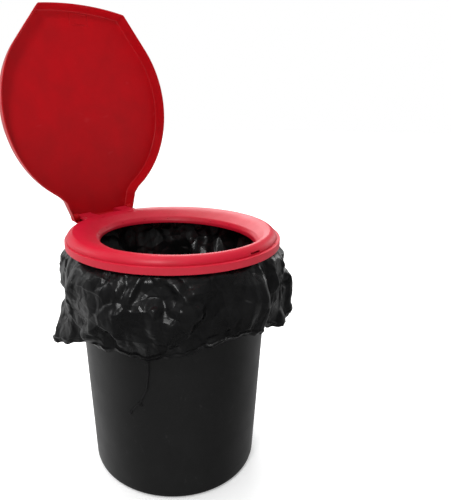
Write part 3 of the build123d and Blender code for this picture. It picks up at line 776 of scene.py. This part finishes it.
class MakeBail(bpy.types.Operator):
    """Wire bail and its moulded grip, hanging on the side away from the viewer"""
    bl_idname = "camp_toilet.bail"
    bl_label = "Bail"

    def execute(self, context):
        bail = settings().bail
        half = settings().pail.ear_face + bail.bend
        out = np.array(BAIL_AXIS)
        level = np.array((-out[1], out[0], 0))
        reach = level * math.cos(bail.hang) - np.array((0, 0, math.sin(bail.hang)))
        across = np.cross(out, reach)
        centre, tangent = self.route(bail, half)
        to_space = np.stack([out, reach])
        sides = 20
        radius = np.full((len(centre), sides), bail.wire / 2)
        radius[0], radius[-1] = 0, 0
        wire = piped("bail_rod", centre @ to_space + np.array(BAIL_PIVOT), tangent @ to_space, across,
                     radius, sides)
        place(wire, "bail", "bail_steel", steel_material(), "bail_wire")
        grip = self.grip(bail, half, to_space, across)
        place(grip, "bail", "grip_plastic", grip_plastic(), "bail_grip")
        return {"FINISHED"}

    def route(self, bail, half):
        """Wire's centre line in the bail's plane: out of one ear, a leg, a half round, and the
        same back on the other side. Returns points and directions."""
        pin_depth = 0.007
        pin = settings().pail.ear_face - pin_depth
        turn = np.linspace(0, np.pi, 121)
        arc = np.column_stack([half * np.cos(turn), bail.leg + half * np.sin(turn)])
        corner = rounded([(pin, 0), (half, 0), (half, bail.leg)], [0, bail.bend, 0], 12)[:-1]
        points = np.concatenate([corner[:1], corner, arc, corner[::-1] * (-1, 1), corner[:1] * (-1, 1)])
        tangent = np.gradient(points, axis=0)
        tangent[0], tangent[-1] = (1, 0), (-1, 0)
        return points, tangent / np.linalg.norm(tangent, axis=1, keepdims=True)

    def grip(self, bail, half, to_space, across):
        """Tube bent to the wire: flutes round it, a waist at each end and rounded lips. Its
        radius is a function of the share along it and the angle round it."""
        sides = 112
        turn = bail.grip_length / half / 2
        share = np.concatenate([np.zeros(3), np.linspace(0, 1, 121), np.ones(3)])
        heading = np.pi / 2 + turn * (1 - 2 * share)
        centre = np.column_stack([half * np.cos(heading), bail.leg + half * np.sin(heading)])
        tangent = np.column_stack([np.sin(heading), -np.cos(heading)])
        ends = 1 - np.clip(1 - np.minimum(share, 1 - share) / 0.035, 0, 1) ** 2
        collar = np.exp(-((np.abs(share - 0.5) - 0.455) / 0.018) ** 2)
        angle = np.linspace(0, 2 * np.pi, sides, endpoint=False)
        flute = np.abs(np.sin(bail.flutes * angle / 2)) ** 0.7
        body = np.clip((0.42 - np.abs(share - 0.5)) / 0.03, 0, 1)
        waist, rise, flute_depth, clearance = 0.0016, 0.0014, 0.0013, 0.0002
        radius = (bail.grip_radius - waist) * ends[:, None] ** 0.5 + rise * collar[:, None]
        radius = radius + flute_depth * body[:, None] * (flute[None] - 0.2)
        inner = bail.wire / 2 + clearance
        radius = np.maximum(radius, inner)
        radius[0], radius[-1] = 0, 0
        radius[1:3], radius[-3:-1] = inner, inner
        return piped("bail_handle", centre @ to_space + np.array(BAIL_PIVOT), tangent @ to_space, across,
                     radius, sides)


# ---------------------------------------------------------------- liner

def random_points(seed, width, height, count):
    """Random points in a strip that repeats along its width, with copies past both ends."""
    points = np.random.default_rng(seed).random((count, 2)) * (width, height)
    return np.concatenate([points + (shift * width, 0) for shift in (-1, 0, 1)])


def nearest_squared(x, y, points):
    """Squared distance from each place to the nearest of some points."""
    best = np.full(x.shape, np.inf)
    for px, py in points:
        np.minimum(best, (x - px) ** 2 + (y - py) ** 2, out=best)
    return best


def crumple(x, y, width, height, cell, stretch, seed):
    """Flat facets that meet in straight creases, as in thin film. It is the squared distance to
    the nearest of one set of random points less that of a second set: the squares cancel, so it
    is flat between creases. Cells are cell wide and stretch times as tall. About -1 to 1."""
    tall = cell * stretch
    count = max(6, int(width / cell * height / tall))
    scaled_x, scaled_y = x / cell, y / tall
    sets = [random_points(seed + i, width / cell, height / tall + 2, count) for i in (0, 1)]
    ridge, valley = (nearest_squared(scaled_x, scaled_y + 1, points) for points in sets)
    return np.clip((ridge - valley) * 0.9, -1.6, 1.6)


def smooth_step(value, low, high):
    """0 below low, 1 above high, with a smooth rise between."""
    share = np.clip((value - low) / (high - low), 0, 1)
    return share * share * (3 - 2 * share)


def folded(x, y, folds):
    """Sum of straight folds. Each is a tent over a line: its height falls evenly to nothing at
    its half-width, so its top and its two feet are creases."""
    total = np.zeros(np.broadcast(x, y).shape)
    for start, end, half_width, rise in folds:
        start, along = np.array(start), np.array(end) - np.array(start)
        share = np.clip(((x - start[0]) * along[0] + (y - start[1]) * along[1]) / (along @ along), 0, 1)
        away = np.hypot(x - start[0] - share * along[0], y - start[1] - share * along[1])
        total += rise * np.clip(1 - away / half_width, 0, None)
    return total


def chance_folds(seed, count, clear):
    """Random folds all round the cuff, in metres along and up it, leaving a stretch in front clear:
    steep and short under the seat, longer and slanting below."""
    dice = np.random.default_rng(seed)
    folds = []
    for _ in range(count):
        turn = wrapped(dice.uniform(clear, 2 * np.pi - clear))
        heights, spread, reaches, widths = STEEP_FOLD if dice.random() < 0.5 else SLANTING_FOLD
        middle = np.array((turn * FOLD_RADIUS, dice.uniform(*heights)))
        lean = dice.normal(0, spread)
        half = dice.uniform(*reaches) * np.array((math.sin(lean), math.cos(lean)))
        width = dice.uniform(*widths)
        folds.append((middle - half, middle + half, width, width * dice.choice([-0.35, 0.42, 0.42])))
    return folds


def drawn_folds():
    """The largest folds, in metres along the cuff and up it."""
    folds = []
    for *ends, half_width, rise in FOLDS:
        start, end = ((math.radians(turn) * FOLD_RADIUS, height / 1000) for turn, height in ends)
        folds.append((start, end, half_width / 1000, rise / 1000))
    return folds


def wrapped(angle):
    """An angle brought to between minus and plus half a turn."""
    return (angle + np.pi) % (2 * np.pi) - np.pi


class MakeLiner(bpy.types.Operator):
    """Bag liner: the bag inside the pail and the cuff turned down outside it"""
    bl_idname = "camp_toilet.liner"
    bl_label = "Liner"

    def execute(self, context):
        liner = settings().liner
        angle = np.linspace(0, 2 * np.pi, liner.columns, endpoint=False)
        cuff = grid_object("liner_cuff_film", self.cuff(liner, angle), outward=False)
        place(cuff, "pail", "liner_film", film_material(), "liner_cuff")
        bag = grid_object("liner_bag_film", self.bag(liner, angle[::2]), outward=False)
        place(bag, "pail", "liner_film", film_material(), "liner_bag")
        return {"FINISHED"}

    def facing(self, angle):
        """Angle to the right of the side of the pail that faces the camera."""
        return wrapped(angle - settings().stage.heading + np.pi / 2)

    def cuff(self, liner, angle):
        """Cuff: radius and height from the angle and the share down the film. It leaves the seat's
        skirt level and bulges. In front it narrows to the hem, and at the sides and behind it
        flares a little. Facets and folds push it in and out, by no more than a limit, the hem's
        band stands out, and the film keeps clear of the pail and of the bail."""
        share = np.linspace(0, 1, 165)[:, None]
        face = self.facing(angle)[None]
        hem = self.hem_height(face)
        top = PAIL_HEIGHT - liner.top
        start = RIM_RADIUS + 0.0016
        bulging = np.interp(share, [0, 0.10, 0.25, 0.45, 0.65, 1], [0, 0.3, 0.62, 0.9, 1, 1])
        fall = np.clip((share - 0.50) / 0.50, 0, 1) ** 1.6
        side = smooth_step(np.abs(face), math.radians(45), math.radians(75))
        flare = 0.0025
        radius = start + (liner.bulge - start) * bulging
        radius = radius - (1 - side) * (liner.bulge - liner.hem_radius) * fall + side * flare * fall
        height = top - (top - hem) * share ** 1.10
        push = self.facets(share, face, top - height) + self.folds(share, face, height)
        limit = 0.003 + 0.0095 * smooth_step(share, 0.05, 0.45)
        radius = radius + limit * np.interp(push / limit, [-2.6, -0.8, 0.55, 2.4], [-1.2, -0.8, 0.55, 1.0])
        band = smooth_step(height, hem + 0.9 * liner.hem_band, hem + liner.hem_band)
        tuck = np.clip((hem + liner.hem_band - height) / liner.hem_band, 0, 1)
        band_out, edge_in = 0.0022, 0.0030
        radius = radius + (1 - band) * (band_out - edge_in * tuck)
        near_pail, under_skirt = 0.004, 0.345
        clear = near_pail + (liner.clear - near_pail) * smooth_step(np.abs(face), 1.30, 1.45)
        radius = np.maximum(radius, np.where(height < under_skirt, pail_radius(height) + clear, start))
        return np.stack([radius * np.cos(angle), radius * np.sin(angle), height + 0 * radius], -1)

    def facets(self, share, face, drop):
        """How far facets push the cuff out: two large sizes and a fine one that grow from the
        seat's skirt, and tall gathers that fade below it."""
        width, tall = 2 * np.pi * FOLD_RADIUS, 0.13
        around = np.broadcast_to(face * FOLD_RADIUS, drop.shape) + width / 2
        push = 0
        for depth, *cells in CUFF_FACETS:
            push = push + depth * crumple(around, drop, width, tall, *cells) * smooth_step(share, 0.02, 0.26)
        depth, *cells = CUFF_FINE
        push = push + depth * crumple(around, drop, width, tall, *cells) * smooth_step(share, 0.03, 0.2)
        depth, *cells = CUFF_GATHER
        gather = depth * crumple(around, drop * 0.6, width, tall, *cells)
        return push + gather * smooth_step(share, 0.0, 0.08) * smooth_step(-share, -0.45, -0.12)

    def folds(self, share, face, height):
        """How far folds push the cuff out: the drawn ones, chance ones that leave the front clear,
        and a lap at 43 degrees, to the right of which the film lies further in."""
        along = np.broadcast_to(face * FOLD_RADIUS, height.shape)
        chance = folded(along, height, chance_folds(7, 70, math.radians(64)))
        push = (FOLD_GAIN * folded(along, height, drawn_folds()) + chance) * smooth_step(share, 0.0, 0.12)
        lap = smooth_step(face, math.radians(43), math.radians(44.2)) * smooth_step(-face, -1.35, -0.95)
        lap_depth = 0.006
        return push - lap_depth * lap * smooth_step(share, 0.15, 0.5)

    def hem_height(self, face):
        """Height of the hem in each direction, with small waves."""
        turn, height = np.array(HEM, float).T
        even = np.interp(np.degrees(face), turn, height) / 1000
        return even + 0.0010 * np.sin(37 * face) + 0.0008 * np.sin(61 * face + 1)

    def bag(self, liner, angle):
        """Bag: down the pail's wall and over its floor, with upright pleats that stand off the
        wall and slack over the floor. Rows run from the rim to the middle of the floor."""
        pail = settings().pail
        face = self.facing(angle)[None]
        low = pail.floor + pail.recess + 0.0008
        top = PAIL_HEIGHT + 0.0010
        outside, inside = RIM_RADIUS + 0.0012, -pail.wall - liner.gap
        over = np.array([[outside, PAIL_HEIGHT - liner.top], [outside, top], [pail.top_radius + inside, top],
                         [pail_radius(low) + inside, low], [0, low]])
        path = rounded(over, [0, 0.004, 0.0025, 0.010, 0], 8)
        run = np.concatenate([[0], np.cumsum(np.linalg.norm(np.diff(path, axis=0), axis=1))])
        turn_over = 0.020
        marks = np.concatenate([np.linspace(0, turn_over, 16, endpoint=False),
                                np.linspace(turn_over, run[-1], 190)])
        radius = np.interp(marks, run, path[:, 0])[:, None]
        height = np.interp(marks, run, path[:, 1])[:, None]
        wall = np.clip((PAIL_HEIGHT - 0.004 - height) / 0.075, 0, 1) * smooth_step(height, 0.012, 0.05)
        least = 0.0003
        push = np.maximum(self.pleats(face, height), least)
        spread = np.maximum(radius - push * wall, 0)
        height = height + self.slack(radius, height, angle)
        return np.stack([spread * np.cos(angle), spread * np.sin(angle), height], -1)

    def pleats(self, face, height):
        """How far the bag's pleats stand off the pail's wall: the sum of three sizes."""
        middle, tall = 0.14, 0.40
        x = np.broadcast_to((face + np.pi) * middle, (len(height), face.shape[1]))
        y = np.broadcast_to(PAIL_HEIGHT - height, x.shape)
        return sum(depth * (1 + crumple(x, y, 2 * np.pi * middle, tall, *cells) * swing)
                   for depth, swing, *cells in BAG_PLEATS)

    def slack(self, radius, height, angle):
        """How far the bag stands above the pail's floor: facets of two sizes, higher near the
        wall and nothing in the middle."""
        half = 0.2
        x, y = radius * np.cos(angle) + half, radius * np.sin(angle) + half
        lift = sum(depth * (1 + crumple(x, y, 2 * half, 2 * half, *cells)) for depth, *cells in FLOOR_SLACK)
        lift = lift * smooth_step(-height, -0.030, -0.006) * smooth_step(radius, 0.0, 0.01)
        return lift * (0.35 + 0.65 * smooth_step(radius, 0.020, 0.090))


# ---------------------------------------------------------------- seat

def opening_radius(seat, angle, grow=0.0):
    """From the pail's axis to the oval opening's edge, in each direction."""
    a, b, forward = seat.half_width + grow, seat.half_depth + grow, seat.forward
    square = np.cos(angle) ** 2 / a ** 2 + np.sin(angle) ** 2 / b ** 2
    linear = 2 * forward * np.sin(angle) / b ** 2
    return (-linear + np.sqrt(linear ** 2 - 4 * square * (forward ** 2 / b ** 2 - 1))) / (2 * square)


def off_centre(radius, back, angle):
    """From the pail's axis to a circle whose centre is behind it, in each direction."""
    return back * np.sin(angle) + np.sqrt(radius ** 2 - (back * np.cos(angle)) ** 2)


class MakeSeat(bpy.types.Operator):
    """Seat ring with its skirt, ledge, dished crown, oval opening, slot, ribs, lugs and hinge arms"""
    bl_idname = "camp_toilet.seat"
    bl_label = "Seat"

    def execute(self, context):
        seat = settings().seat
        ring = grid_object("seat_moulding", self.ring(seat), wrap_rows=True, sharp=40)
        front = seat.back - seat.body
        sill = SEAT_LOW.z + seat.ledge + 0.0012
        cut(ring, block("slot", (-seat.slot_width / 2, front - 0.002, sill),
                        (seat.slot_width / 2, front + 0.0070, sill + 0.0028)))
        place(ring, "seat", "seat_plastic", red_plastic(), "seat_ring")
        ribs = [self.rib(seat, (i + 0.5) * 2 * np.pi / seat.ribs) for i in range(seat.ribs)]
        place(joined("seat_ribs", ribs), "seat", "seat_plastic", red_plastic())
        lugs = [self.lug(seat, (i + 0.5) * 2 * np.pi / seat.lugs) for i in range(seat.lugs)]
        place(joined("seat_lugs", lugs), "seat", "seat_plastic", red_plastic())
        arms = [part for side in (1, -1) for part in self.arm(side)]
        place(joined("seat_hinge_arms", arms), "seat", "seat_plastic", red_plastic())
        return {"FINISHED"}

    def ring(self, seat):
        """Closed section carried round the axis. The body's outside is a quarter of an ellipse from
        the ledge to the crown, about its own centre, a little flattened where the closed lid's
        skirt passes. The inner corners follow the oval opening, so the top is ruled between the
        round crown and the oval edge."""
        angle = np.linspace(0, 2 * np.pi, seat.columns, endpoint=False)
        oval = opening_radius(seat, angle)
        low, high = SEAT_LOW.z, SEAT_HIGH.z
        ledge = low + seat.ledge
        under = ledge - seat.ledge_plate
        edge = high - seat.edge_drop + 0.003 * np.clip(-np.sin(angle), 0, 1) ** 2
        ones = np.ones_like(angle)
        body, crown = (off_centre(radius, seat.back, angle) for radius in (seat.body, seat.crown))
        skirt = SEAT_RADIUS - seat.skirt
        corners = [(skirt * ones, low, 0.0008), (SEAT_RADIUS * ones, low, 0.0009),
                   (SEAT_RADIUS * ones, ledge, 0.0008), (body, ledge, 0)]
        for turn in np.linspace(0.02, np.pi / 2, 15):
            out, up = math.cos(turn) ** seat.bevel, math.sin(turn) ** seat.bevel
            corners.append((crown + (body - crown) * out, ledge + (high - ledge) * up, 0))
        inside, lip = crown - seat.skin, oval + seat.skin
        corners += [(0.35 * oval + 0.65 * crown, 0.12 * edge + 0.88 * high, 0.06),
                    (oval + 0.0050, edge + 0.0008, 0.008), (oval + 0.0008, edge - 0.0045, 0.006),
                    (oval, low, 0.0012), (lip, low, 0.0012), (lip + 0.0015, edge - seat.skin - 0.001, 0.002),
                    (inside + 0.002, high - seat.skin - 0.0006, 0.004),
                    (inside + 0.0065, high - 0.0075, 0.002), (inside + 0.008, under, 0.0006),
                    (skirt * ones, under, 0.001)]
        points = np.stack([np.stack([r, z + 0 * r], -1) for r, z, _ in corners])
        section = rounded(points, [c[2] for c in corners], 7, closed=True)
        radius, height = section[..., 0], section[..., 1]
        return np.stack([radius * np.cos(angle), radius * np.sin(angle), height], -1)

    def rib(self, seat, heading):
        """Thin radial wall between the opening's lip and the outer wall, under the skin."""
        start = float(opening_radius(seat, np.array(heading))) + seat.skin - 0.0006
        end = seat.crown + 0.0055
        low = SEAT_LOW.z + seat.ledge - seat.ledge_plate + 0.0002
        high = SEAT_HIGH.z - seat.skin + 0.0004
        slope = np.array([(start, low), (end, low), (end, high - 0.0045), (seat.crown - 0.002, high - 0.0012),
                          (start, high - seat.edge_drop - 0.001)])
        out = np.array((math.cos(heading), math.sin(heading), 0))
        side = np.array((-math.sin(heading), math.cos(heading), 0))
        section = slope[:, :1] * out + slope[:, 1:] * np.array((0, 0, 1))
        return prism("rib", section, side, -0.001, 0.001, 0.0003)

    def lug(self, seat, heading):
        """Short wedge inside the skirt that catches under the rim bead, curved with the skirt."""
        turn = heading + np.radians(np.linspace(-4.5, 4.5, 19))
        outer, inner = SEAT_RADIUS - seat.skirt + 0.0005, RIM_RADIUS + 0.0015
        low = SEAT_LOW.z
        corners = rounded([(outer, low + 0.0002), (inner + 0.0015, low + 0.0002), (inner, low + 0.0025),
                           (outer, low + 0.005)], [0.0004, 0.0006, 0.0006, 0.0004], 4, closed=True)
        middle = corners.mean(0)
        rows = []
        for share, angle in zip([0] + [1] * len(turn) + [0], [turn[0], *turn, turn[-1]]):
            radius, height = (middle + share * (corners - middle)).T
            rows.append(np.column_stack([radius * np.cos(angle), radius * np.sin(angle), height]))
        return grid_object("lug", np.stack(rows), sharp=40)

    def arm(self, side):
        """Flat arm from the seat's wall to a round knuckle on the hinge axis, and its pin."""
        hinge, seat = settings().hinge, settings().seat
        root = math.sqrt((seat.crown - seat.skin) ** 2 - hinge.outer ** 2)
        thick = hinge.knuckle - 0.001
        knuckle = self.arc(hinge.knuckle, np.linspace(-0.5 * np.pi, 0.5 * np.pi, 17))
        neck = HINGE.y - hinge.knuckle * 1.1
        section = np.concatenate([[(0, root, HINGE.z - thick), (0, neck, HINGE.z - thick)], knuckle,
                                  [(0, neck, HINGE.z + thick), (0, root, HINGE.z + thick)]])
        ends = sorted((side * hinge.outer, side * (hinge.outer - hinge.arm)))
        circle = self.arc(hinge.pin, np.linspace(0, 2 * np.pi, 32, endpoint=False))
        tip = sorted((side * (hinge.outer - 0.002), side * (hinge.outer + hinge.pin_out)))
        return [prism("arm", section, (1, 0, 0), *ends, 0.0007),
                prism("pin", circle, (1, 0, 0), *tip, 0.0008)]

    def arc(self, radius, turn):
        """Points round the hinge axis, on the middle plane."""
        return np.column_stack([0 * turn, HINGE.y + radius * np.cos(turn), HINGE.z + radius * np.sin(turn)])


# ---------------------------------------------------------------- lid

class MakeLid(bpy.types.Operator):
    """Lid with its crowned plate, flared skirt, hinge tab, bosses, latch nib and ribs"""
    bl_idname = "camp_toilet.lid"
    bl_label = "Lid"

    def execute(self, context):
        lid = settings().lid
        shell = grid_object("lid_moulding", self.opened(self.shell(lid)), wrap_rows=False, sharp=42)
        # The lid's material has painted shade in its colour.
        place(shell, "lid", "seat_plastic", lid_plastic_in_painted_shade(), "lid")
        small = [self.boss(side) for side in (1, -1)] + [self.nib(lid), *self.pad(lid)]
        place(joined("lid_bosses", small), "lid", "seat_plastic", lid_plastic_in_painted_shade())
        return {"FINISHED"}

    def opened(self, grid):
        """Turns points from the closed lid to the open one, about the hinge axis."""
        y, z = grid[..., 1] - HINGE.y, grid[..., 2] - HINGE.z
        c, s = math.cos(LID_TURN), math.sin(LID_TURN)
        return np.stack([grid[..., 0], HINGE.y + y * c + z * s, HINGE.z - y * s + z * c], -1)

    def rim_height(self):
        """Height of the closed lid's rim."""
        return SEAT_LOW.z + settings().seat.ledge + settings().lid.gap

    def outline(self, lid):
        """Rim of the closed lid, evenly spaced: a round from the tab to where straight sides
        touch it, the sides to two corners, and a front edge that bows out between them. Returns
        points and the directions square to them, outwards."""
        corner = np.array((lid.corner_out, -lid.corner_front))
        from_centre = corner - (0, lid.centre)
        touch = math.atan2(from_centre[1], from_centre[0]) + math.acos(lid.radius / np.hypot(*from_centre))
        neck = math.acos(lid.neck / lid.radius)
        turn = np.linspace(touch, neck, 60)
        side = np.column_stack([lid.radius * np.cos(turn), lid.centre + lid.radius * np.sin(turn)])
        tab_start = (lid.tab, side[-1, 1] + 0.010)
        tab_end = (lid.tab_end, HINGE.y + lid.tab_behind)
        bow = np.linspace(0, 1, 15)[:-1]
        bowed = -lid.front + (lid.front - lid.corner_front) * bow ** 2
        front = np.column_stack([lid.corner_out * bow, bowed])
        half = np.concatenate([front, [corner], side, [tab_start, tab_end, (0, tab_end[1])]])
        radii = [0] * len(front) + [0.0045] + [0] * (len(side) - 1) + [0.004, 0.004, 0.005, 0]
        half = rounded(half, radii, 9)
        whole = np.concatenate([half, half[-2:0:-1] * (-1, 1)])
        closed = np.concatenate([whole, whole[:1]])
        run = np.concatenate([[0], np.cumsum(np.linalg.norm(np.diff(closed, axis=0), axis=1))])
        marks = np.linspace(0, run[-1], lid.columns, endpoint=False)
        points = np.column_stack([np.interp(marks, run, closed[:, i]) for i in (0, 1)])
        along = np.roll(points, -1, 0) - np.roll(points, 1, 0)
        out = np.column_stack([along[:, 1], -along[:, 0]])
        return points, out / np.linalg.norm(out, axis=1, keepdims=True)

    def shell(self, lid):
        """Plate and skirt: a section of (inset from the rim, depth) goes round the outline, then
        shrinks towards the middle over the plate. The plate's height falls with the square of
        the distance from the middle."""
        points, out = self.outline(lid)
        depth = lid.depth - lid.crown
        inset = depth * lid.flare
        section = rounded([(0.016, depth), (inset, depth), (0, 0), (lid.wall, 0),
                           (inset + lid.wall * 0.96, depth - lid.wall), (0.016, depth - lid.wall)],
                          [0, 0.0040, 0.0009, 0.0009, 0.0022, 0], 9)
        ring = points[None] - section[:, :1, None] * out[None]
        level = np.broadcast_to(section[:, 1:2], ring.shape[:2])
        centre = np.array((0, lid.centre))
        shares = np.concatenate([[0, 0.004], np.linspace(0.03, 0.985, 34)])
        top = centre + shares[:, None, None] * (ring[0] - centre)
        under = centre + shares[::-1, None, None] * (ring[-1] - centre)
        flat = np.concatenate([top, ring, under])
        level = np.concatenate([np.full(top.shape[:2], depth), level,
                                np.full(under.shape[:2], depth - lid.wall)])
        reach = np.linalg.norm(flat - centre, axis=-1) / (lid.radius - inset)
        dome = depth + lid.crown * (1 - reach ** 2)
        height = self.rim_height() + level / depth * dome
        inner = np.zeros(len(flat), bool)
        inner[-len(under):] = True
        height[inner] -= self.gate(flat[inner])
        return np.concatenate([flat, height[..., None]], -1)

    def gate(self, flat):
        """How far the mould gate's mark stands out inside the plate: a small bell behind its middle."""
        behind, rise, spread = 0.010, 0.0006, 0.0030
        away = np.hypot(flat[..., 0], flat[..., 1] - behind)
        return rise * np.exp(-(away / spread) ** 2)

    def boss(self, side):
        """Boss round a hinge pin, on the inside of the tab's side wall."""
        hinge, lid = settings().hinge, settings().lid
        into_wall, clearance, bottom = 0.001, 0.0001, 0.0055
        start, end = hinge.outer + hinge.side_gap, lid.tab_end + into_wall
        hole = hinge.pin + clearance
        outline = rounded([(0, bottom), (hole, bottom), (hole, 0), (hinge.boss, 0),
                           (hinge.boss, end - start), (0, end - start)], [0, 0, 0.0004, 0.0008, 0, 0], 4)
        return turned("boss", outline, 48, origin=(side * start, HINGE.y, HINGE.z), axis=(side, 0, 0),
                      closed=False, sharp=50)

    def plate_height(self, lid, y):
        """Height of the closed plate's underside on the middle line."""
        depth = lid.depth - lid.crown
        reach = abs(y - lid.centre) / (lid.radius - depth * lid.flare)
        return self.rim_height() + (depth - lid.wall) / depth * (depth + lid.crown * (1 - reach ** 2))

    def pad(self, lid):
        """Oblong outline of four low round ribs inside the plate, behind the nib. Each is sunk
        into the plate by a little more than half."""
        half, front, back = 0.017, lid.centre - 0.149, lid.centre - 0.133
        rib, sunk, overlap = 0.0007, 0.0002, 0.0005
        corners = [np.array((x, y, self.plate_height(lid, y) + sunk))
                   for x, y in ((-half, front), (half, front), (half, back), (-half, back))]
        turn = np.linspace(0, 2 * np.pi, 16, endpoint=False)[:, None]
        pieces = []
        for start, end in zip(corners, corners[1:] + corners[:1]):
            reach = np.linalg.norm(end - start)
            along = (end - start) / reach
            beside = np.array((-along[1], along[0], 0))
            section = start + rib * (np.cos(turn) * beside + np.sin(turn) * np.array((0, 0, 1)))
            pieces.append(prism("rib", self.opened(section), self.opened(start + along) - self.opened(start),
                                -overlap, reach + overlap, 0.0004))
        return pieces

    def nib(self, lid):
        """Latch nib inside the middle of the front skirt: a low wedge, wider at its root."""
        low = self.rim_height()
        root, tip = -lid.front + lid.wall, -lid.front + lid.wall + 0.0014
        outline = rounded([(root - 0.0010, low + 0.0009), (tip, low + 0.0013), (tip, low + 0.0033),
                           (root + 0.0008, low + 0.0060), (root - 0.0004, low + 0.0060)],
                          [0.0003, 0.0006, 0.0008, 0.0008, 0.0003], 4, closed=True)
        section = np.column_stack([np.zeros(len(outline)), outline])
        return prism("nib", self.opened(section), (1, 0, 0), -0.0075, 0.0075, 0.0009)


# ---------------------------------------------------------------- stage

def towards(turn, lift):
    """Direction from the object: turn degrees from the camera's side to its right, and lift
    degrees above level."""
    way, up = settings().stage.heading + math.radians(turn), math.radians(lift)
    return Vector((math.sin(way) * math.cos(up), -math.cos(way) * math.cos(up), math.sin(up)))


class MakeStage(bpy.types.Operator):
    """Camera, pale floor, soft lights and a plain surround"""
    bl_idname = "camp_toilet.stage"
    bl_label = "Stage"

    def execute(self, context):
        self.camera(settings().stage)
        self.floor()
        self.sky()
        for window in WINDOWS:
            self.light(*window)
        self.surround()
        return {"FINISHED"}

    def camera(self, stage):
        """Camera at its distance and height on the side that faces it, shifted sideways."""
        data = bpy.data.cameras.new("camera")
        data.sensor_width = 36
        data.lens = stage.lens
        data.shift_x = stage.shift
        data.clip_start, data.clip_end = 0.01, 50
        camera = bpy.data.objects.new("camera", data)
        camera.location = (stage.distance * math.sin(stage.heading),
                           -stage.distance * math.cos(stage.heading), stage.height)
        camera.rotation_euler = (math.pi / 2 - stage.pitch, 0, stage.heading - stage.pan)
        bpy.context.scene.collection.objects.link(camera)
        bpy.context.scene.camera = camera

    def floor(self):
        """Wide pale floor with faint mottling."""
        ring = np.linspace(0, 2 * np.pi, 96, endpoint=False)
        reach = np.array([0, 0.3, 1, 3, 9])[:, None]
        grid = np.stack([reach * np.cos(ring), reach * np.sin(ring), 0 * reach * ring - 0.0004], -1)
        floor = grid_object("floor", grid, outward=False)
        material, tree, shader, where = new_material("pale floor", Roughness=0.9)
        mottle = add(tree, "ShaderNodeTexNoise", {"Scale": 6.0}, Vector=where).outputs["Fac"]
        pale = settings().finish.floor
        tree.links.new(mixed(tree, mottle, pale, tuple(0.99 * c for c in pale)), shader.inputs["Base Color"])
        shader.inputs["Emission Color"].default_value = (1, 1, 1, 1)
        shader.inputs["Emission Strength"].default_value = 0.35
        floor.data.materials.append(material)
        floor.visible_glossy = False

    def sky(self):
        """Wide soft light from high above, a little behind the object's left."""
        data = bpy.data.lights.new("overhead", "SUN")
        data.angle = math.radians(70)
        data.energy = 2.3
        light = bpy.data.objects.new("overhead", data)
        light.visible_glossy = False
        light.rotation_euler = towards(-140, 76).to_track_quat("Z", "Y").to_euler()
        bpy.context.scene.collection.objects.link(light)

    def light(self, name, turn, lift, distance, size, power):
        """Square soft light in that direction, aimed at the middle of the object."""
        data = bpy.data.lights.new(name, "AREA")
        data.size = size
        data.energy = power
        light = bpy.data.objects.new(name, data)
        aim = Vector((0, 0, 0.3))
        from_aim = towards(turn, lift)
        light.location = aim + distance * from_aim
        light.rotation_euler = from_aim.to_track_quat("Z", "Y").to_euler()
        light.visible_camera = False
        bpy.context.scene.collection.objects.link(light)

    def surround(self):
        """White where the camera looks past the object. For reflections and as light around it,
        dim with four soft glows: below level behind the left and the right, faint below level in
        front, and almost overhead. Each is the squared cosine of the angle to its middle."""
        world = bpy.data.worlds.new("surround")
        world.use_nodes = True
        tree = world.node_tree
        background = tree.nodes["Background"]
        path = tree.nodes.new("ShaderNodeLightPath").outputs["Is Camera Ray"]
        way = tree.nodes.new("ShaderNodeTexCoord").outputs["Generated"]
        glow = 0.04
        for turn, lift, strength in GLOWS:
            values = {"operation": "DOT_PRODUCT", 0: way, 1: towards(turn, lift)}
            facing = add(tree, "ShaderNodeVectorMath", values)
            lobe = maths(tree, "POWER", maths(tree, "MAXIMUM", facing.outputs["Value"], 0.0), 2.0)
            glow = maths(tree, "ADD", maths(tree, "MULTIPLY", lobe, strength), glow)
        tree.links.new(mixed(tree, path, glow, (1.0, 1.0, 1.0)), background.inputs["Color"])
        bpy.context.scene.world = world
        bpy.context.scene.view_settings.view_transform = "Standard"


# ---------------------------------------------------------------- panel and run

OPERATORS = (MakeStage, MakeString, MakePail, MakeBail, MakeLiner, MakeSeat, MakeLid)


class ToiletPanel(bpy.types.Panel):
    """Lists the pieces of the camp toilet"""
    bl_idname = "VIEW3D_PT_camp_toilet"
    bl_label = "Camp Toilet"
    bl_space_type = "VIEW_3D"
    bl_region_type = "UI"
    bl_category = "Camp Toilet"

    def draw(self, context):
        for operator in OPERATORS:
            self.layout.operator(operator.bl_idname)


CLASSES = (*GROUPS.values(), ToiletSettings, *OPERATORS, ToiletPanel)


def register():
    for item in CLASSES:
        bpy.utils.register_class(item)
    bpy.types.Scene.camp_toilet = PointerProperty(type=ToiletSettings)


def unregister():
    del bpy.types.Scene.camp_toilet
    for item in reversed(CLASSES):
        bpy.utils.unregister_class(item)


def main():
    register()
    bpy.ops.camp_toilet.stage()
    bpy.ops.camp_toilet.tie_string()
    bpy.ops.camp_toilet.pail()
    bpy.ops.camp_toilet.bail()
    bpy.ops.camp_toilet.liner()
    bpy.ops.camp_toilet.seat()
    bpy.ops.camp_toilet.lid()
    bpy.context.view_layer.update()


if __name__ == "__main__":
    main()
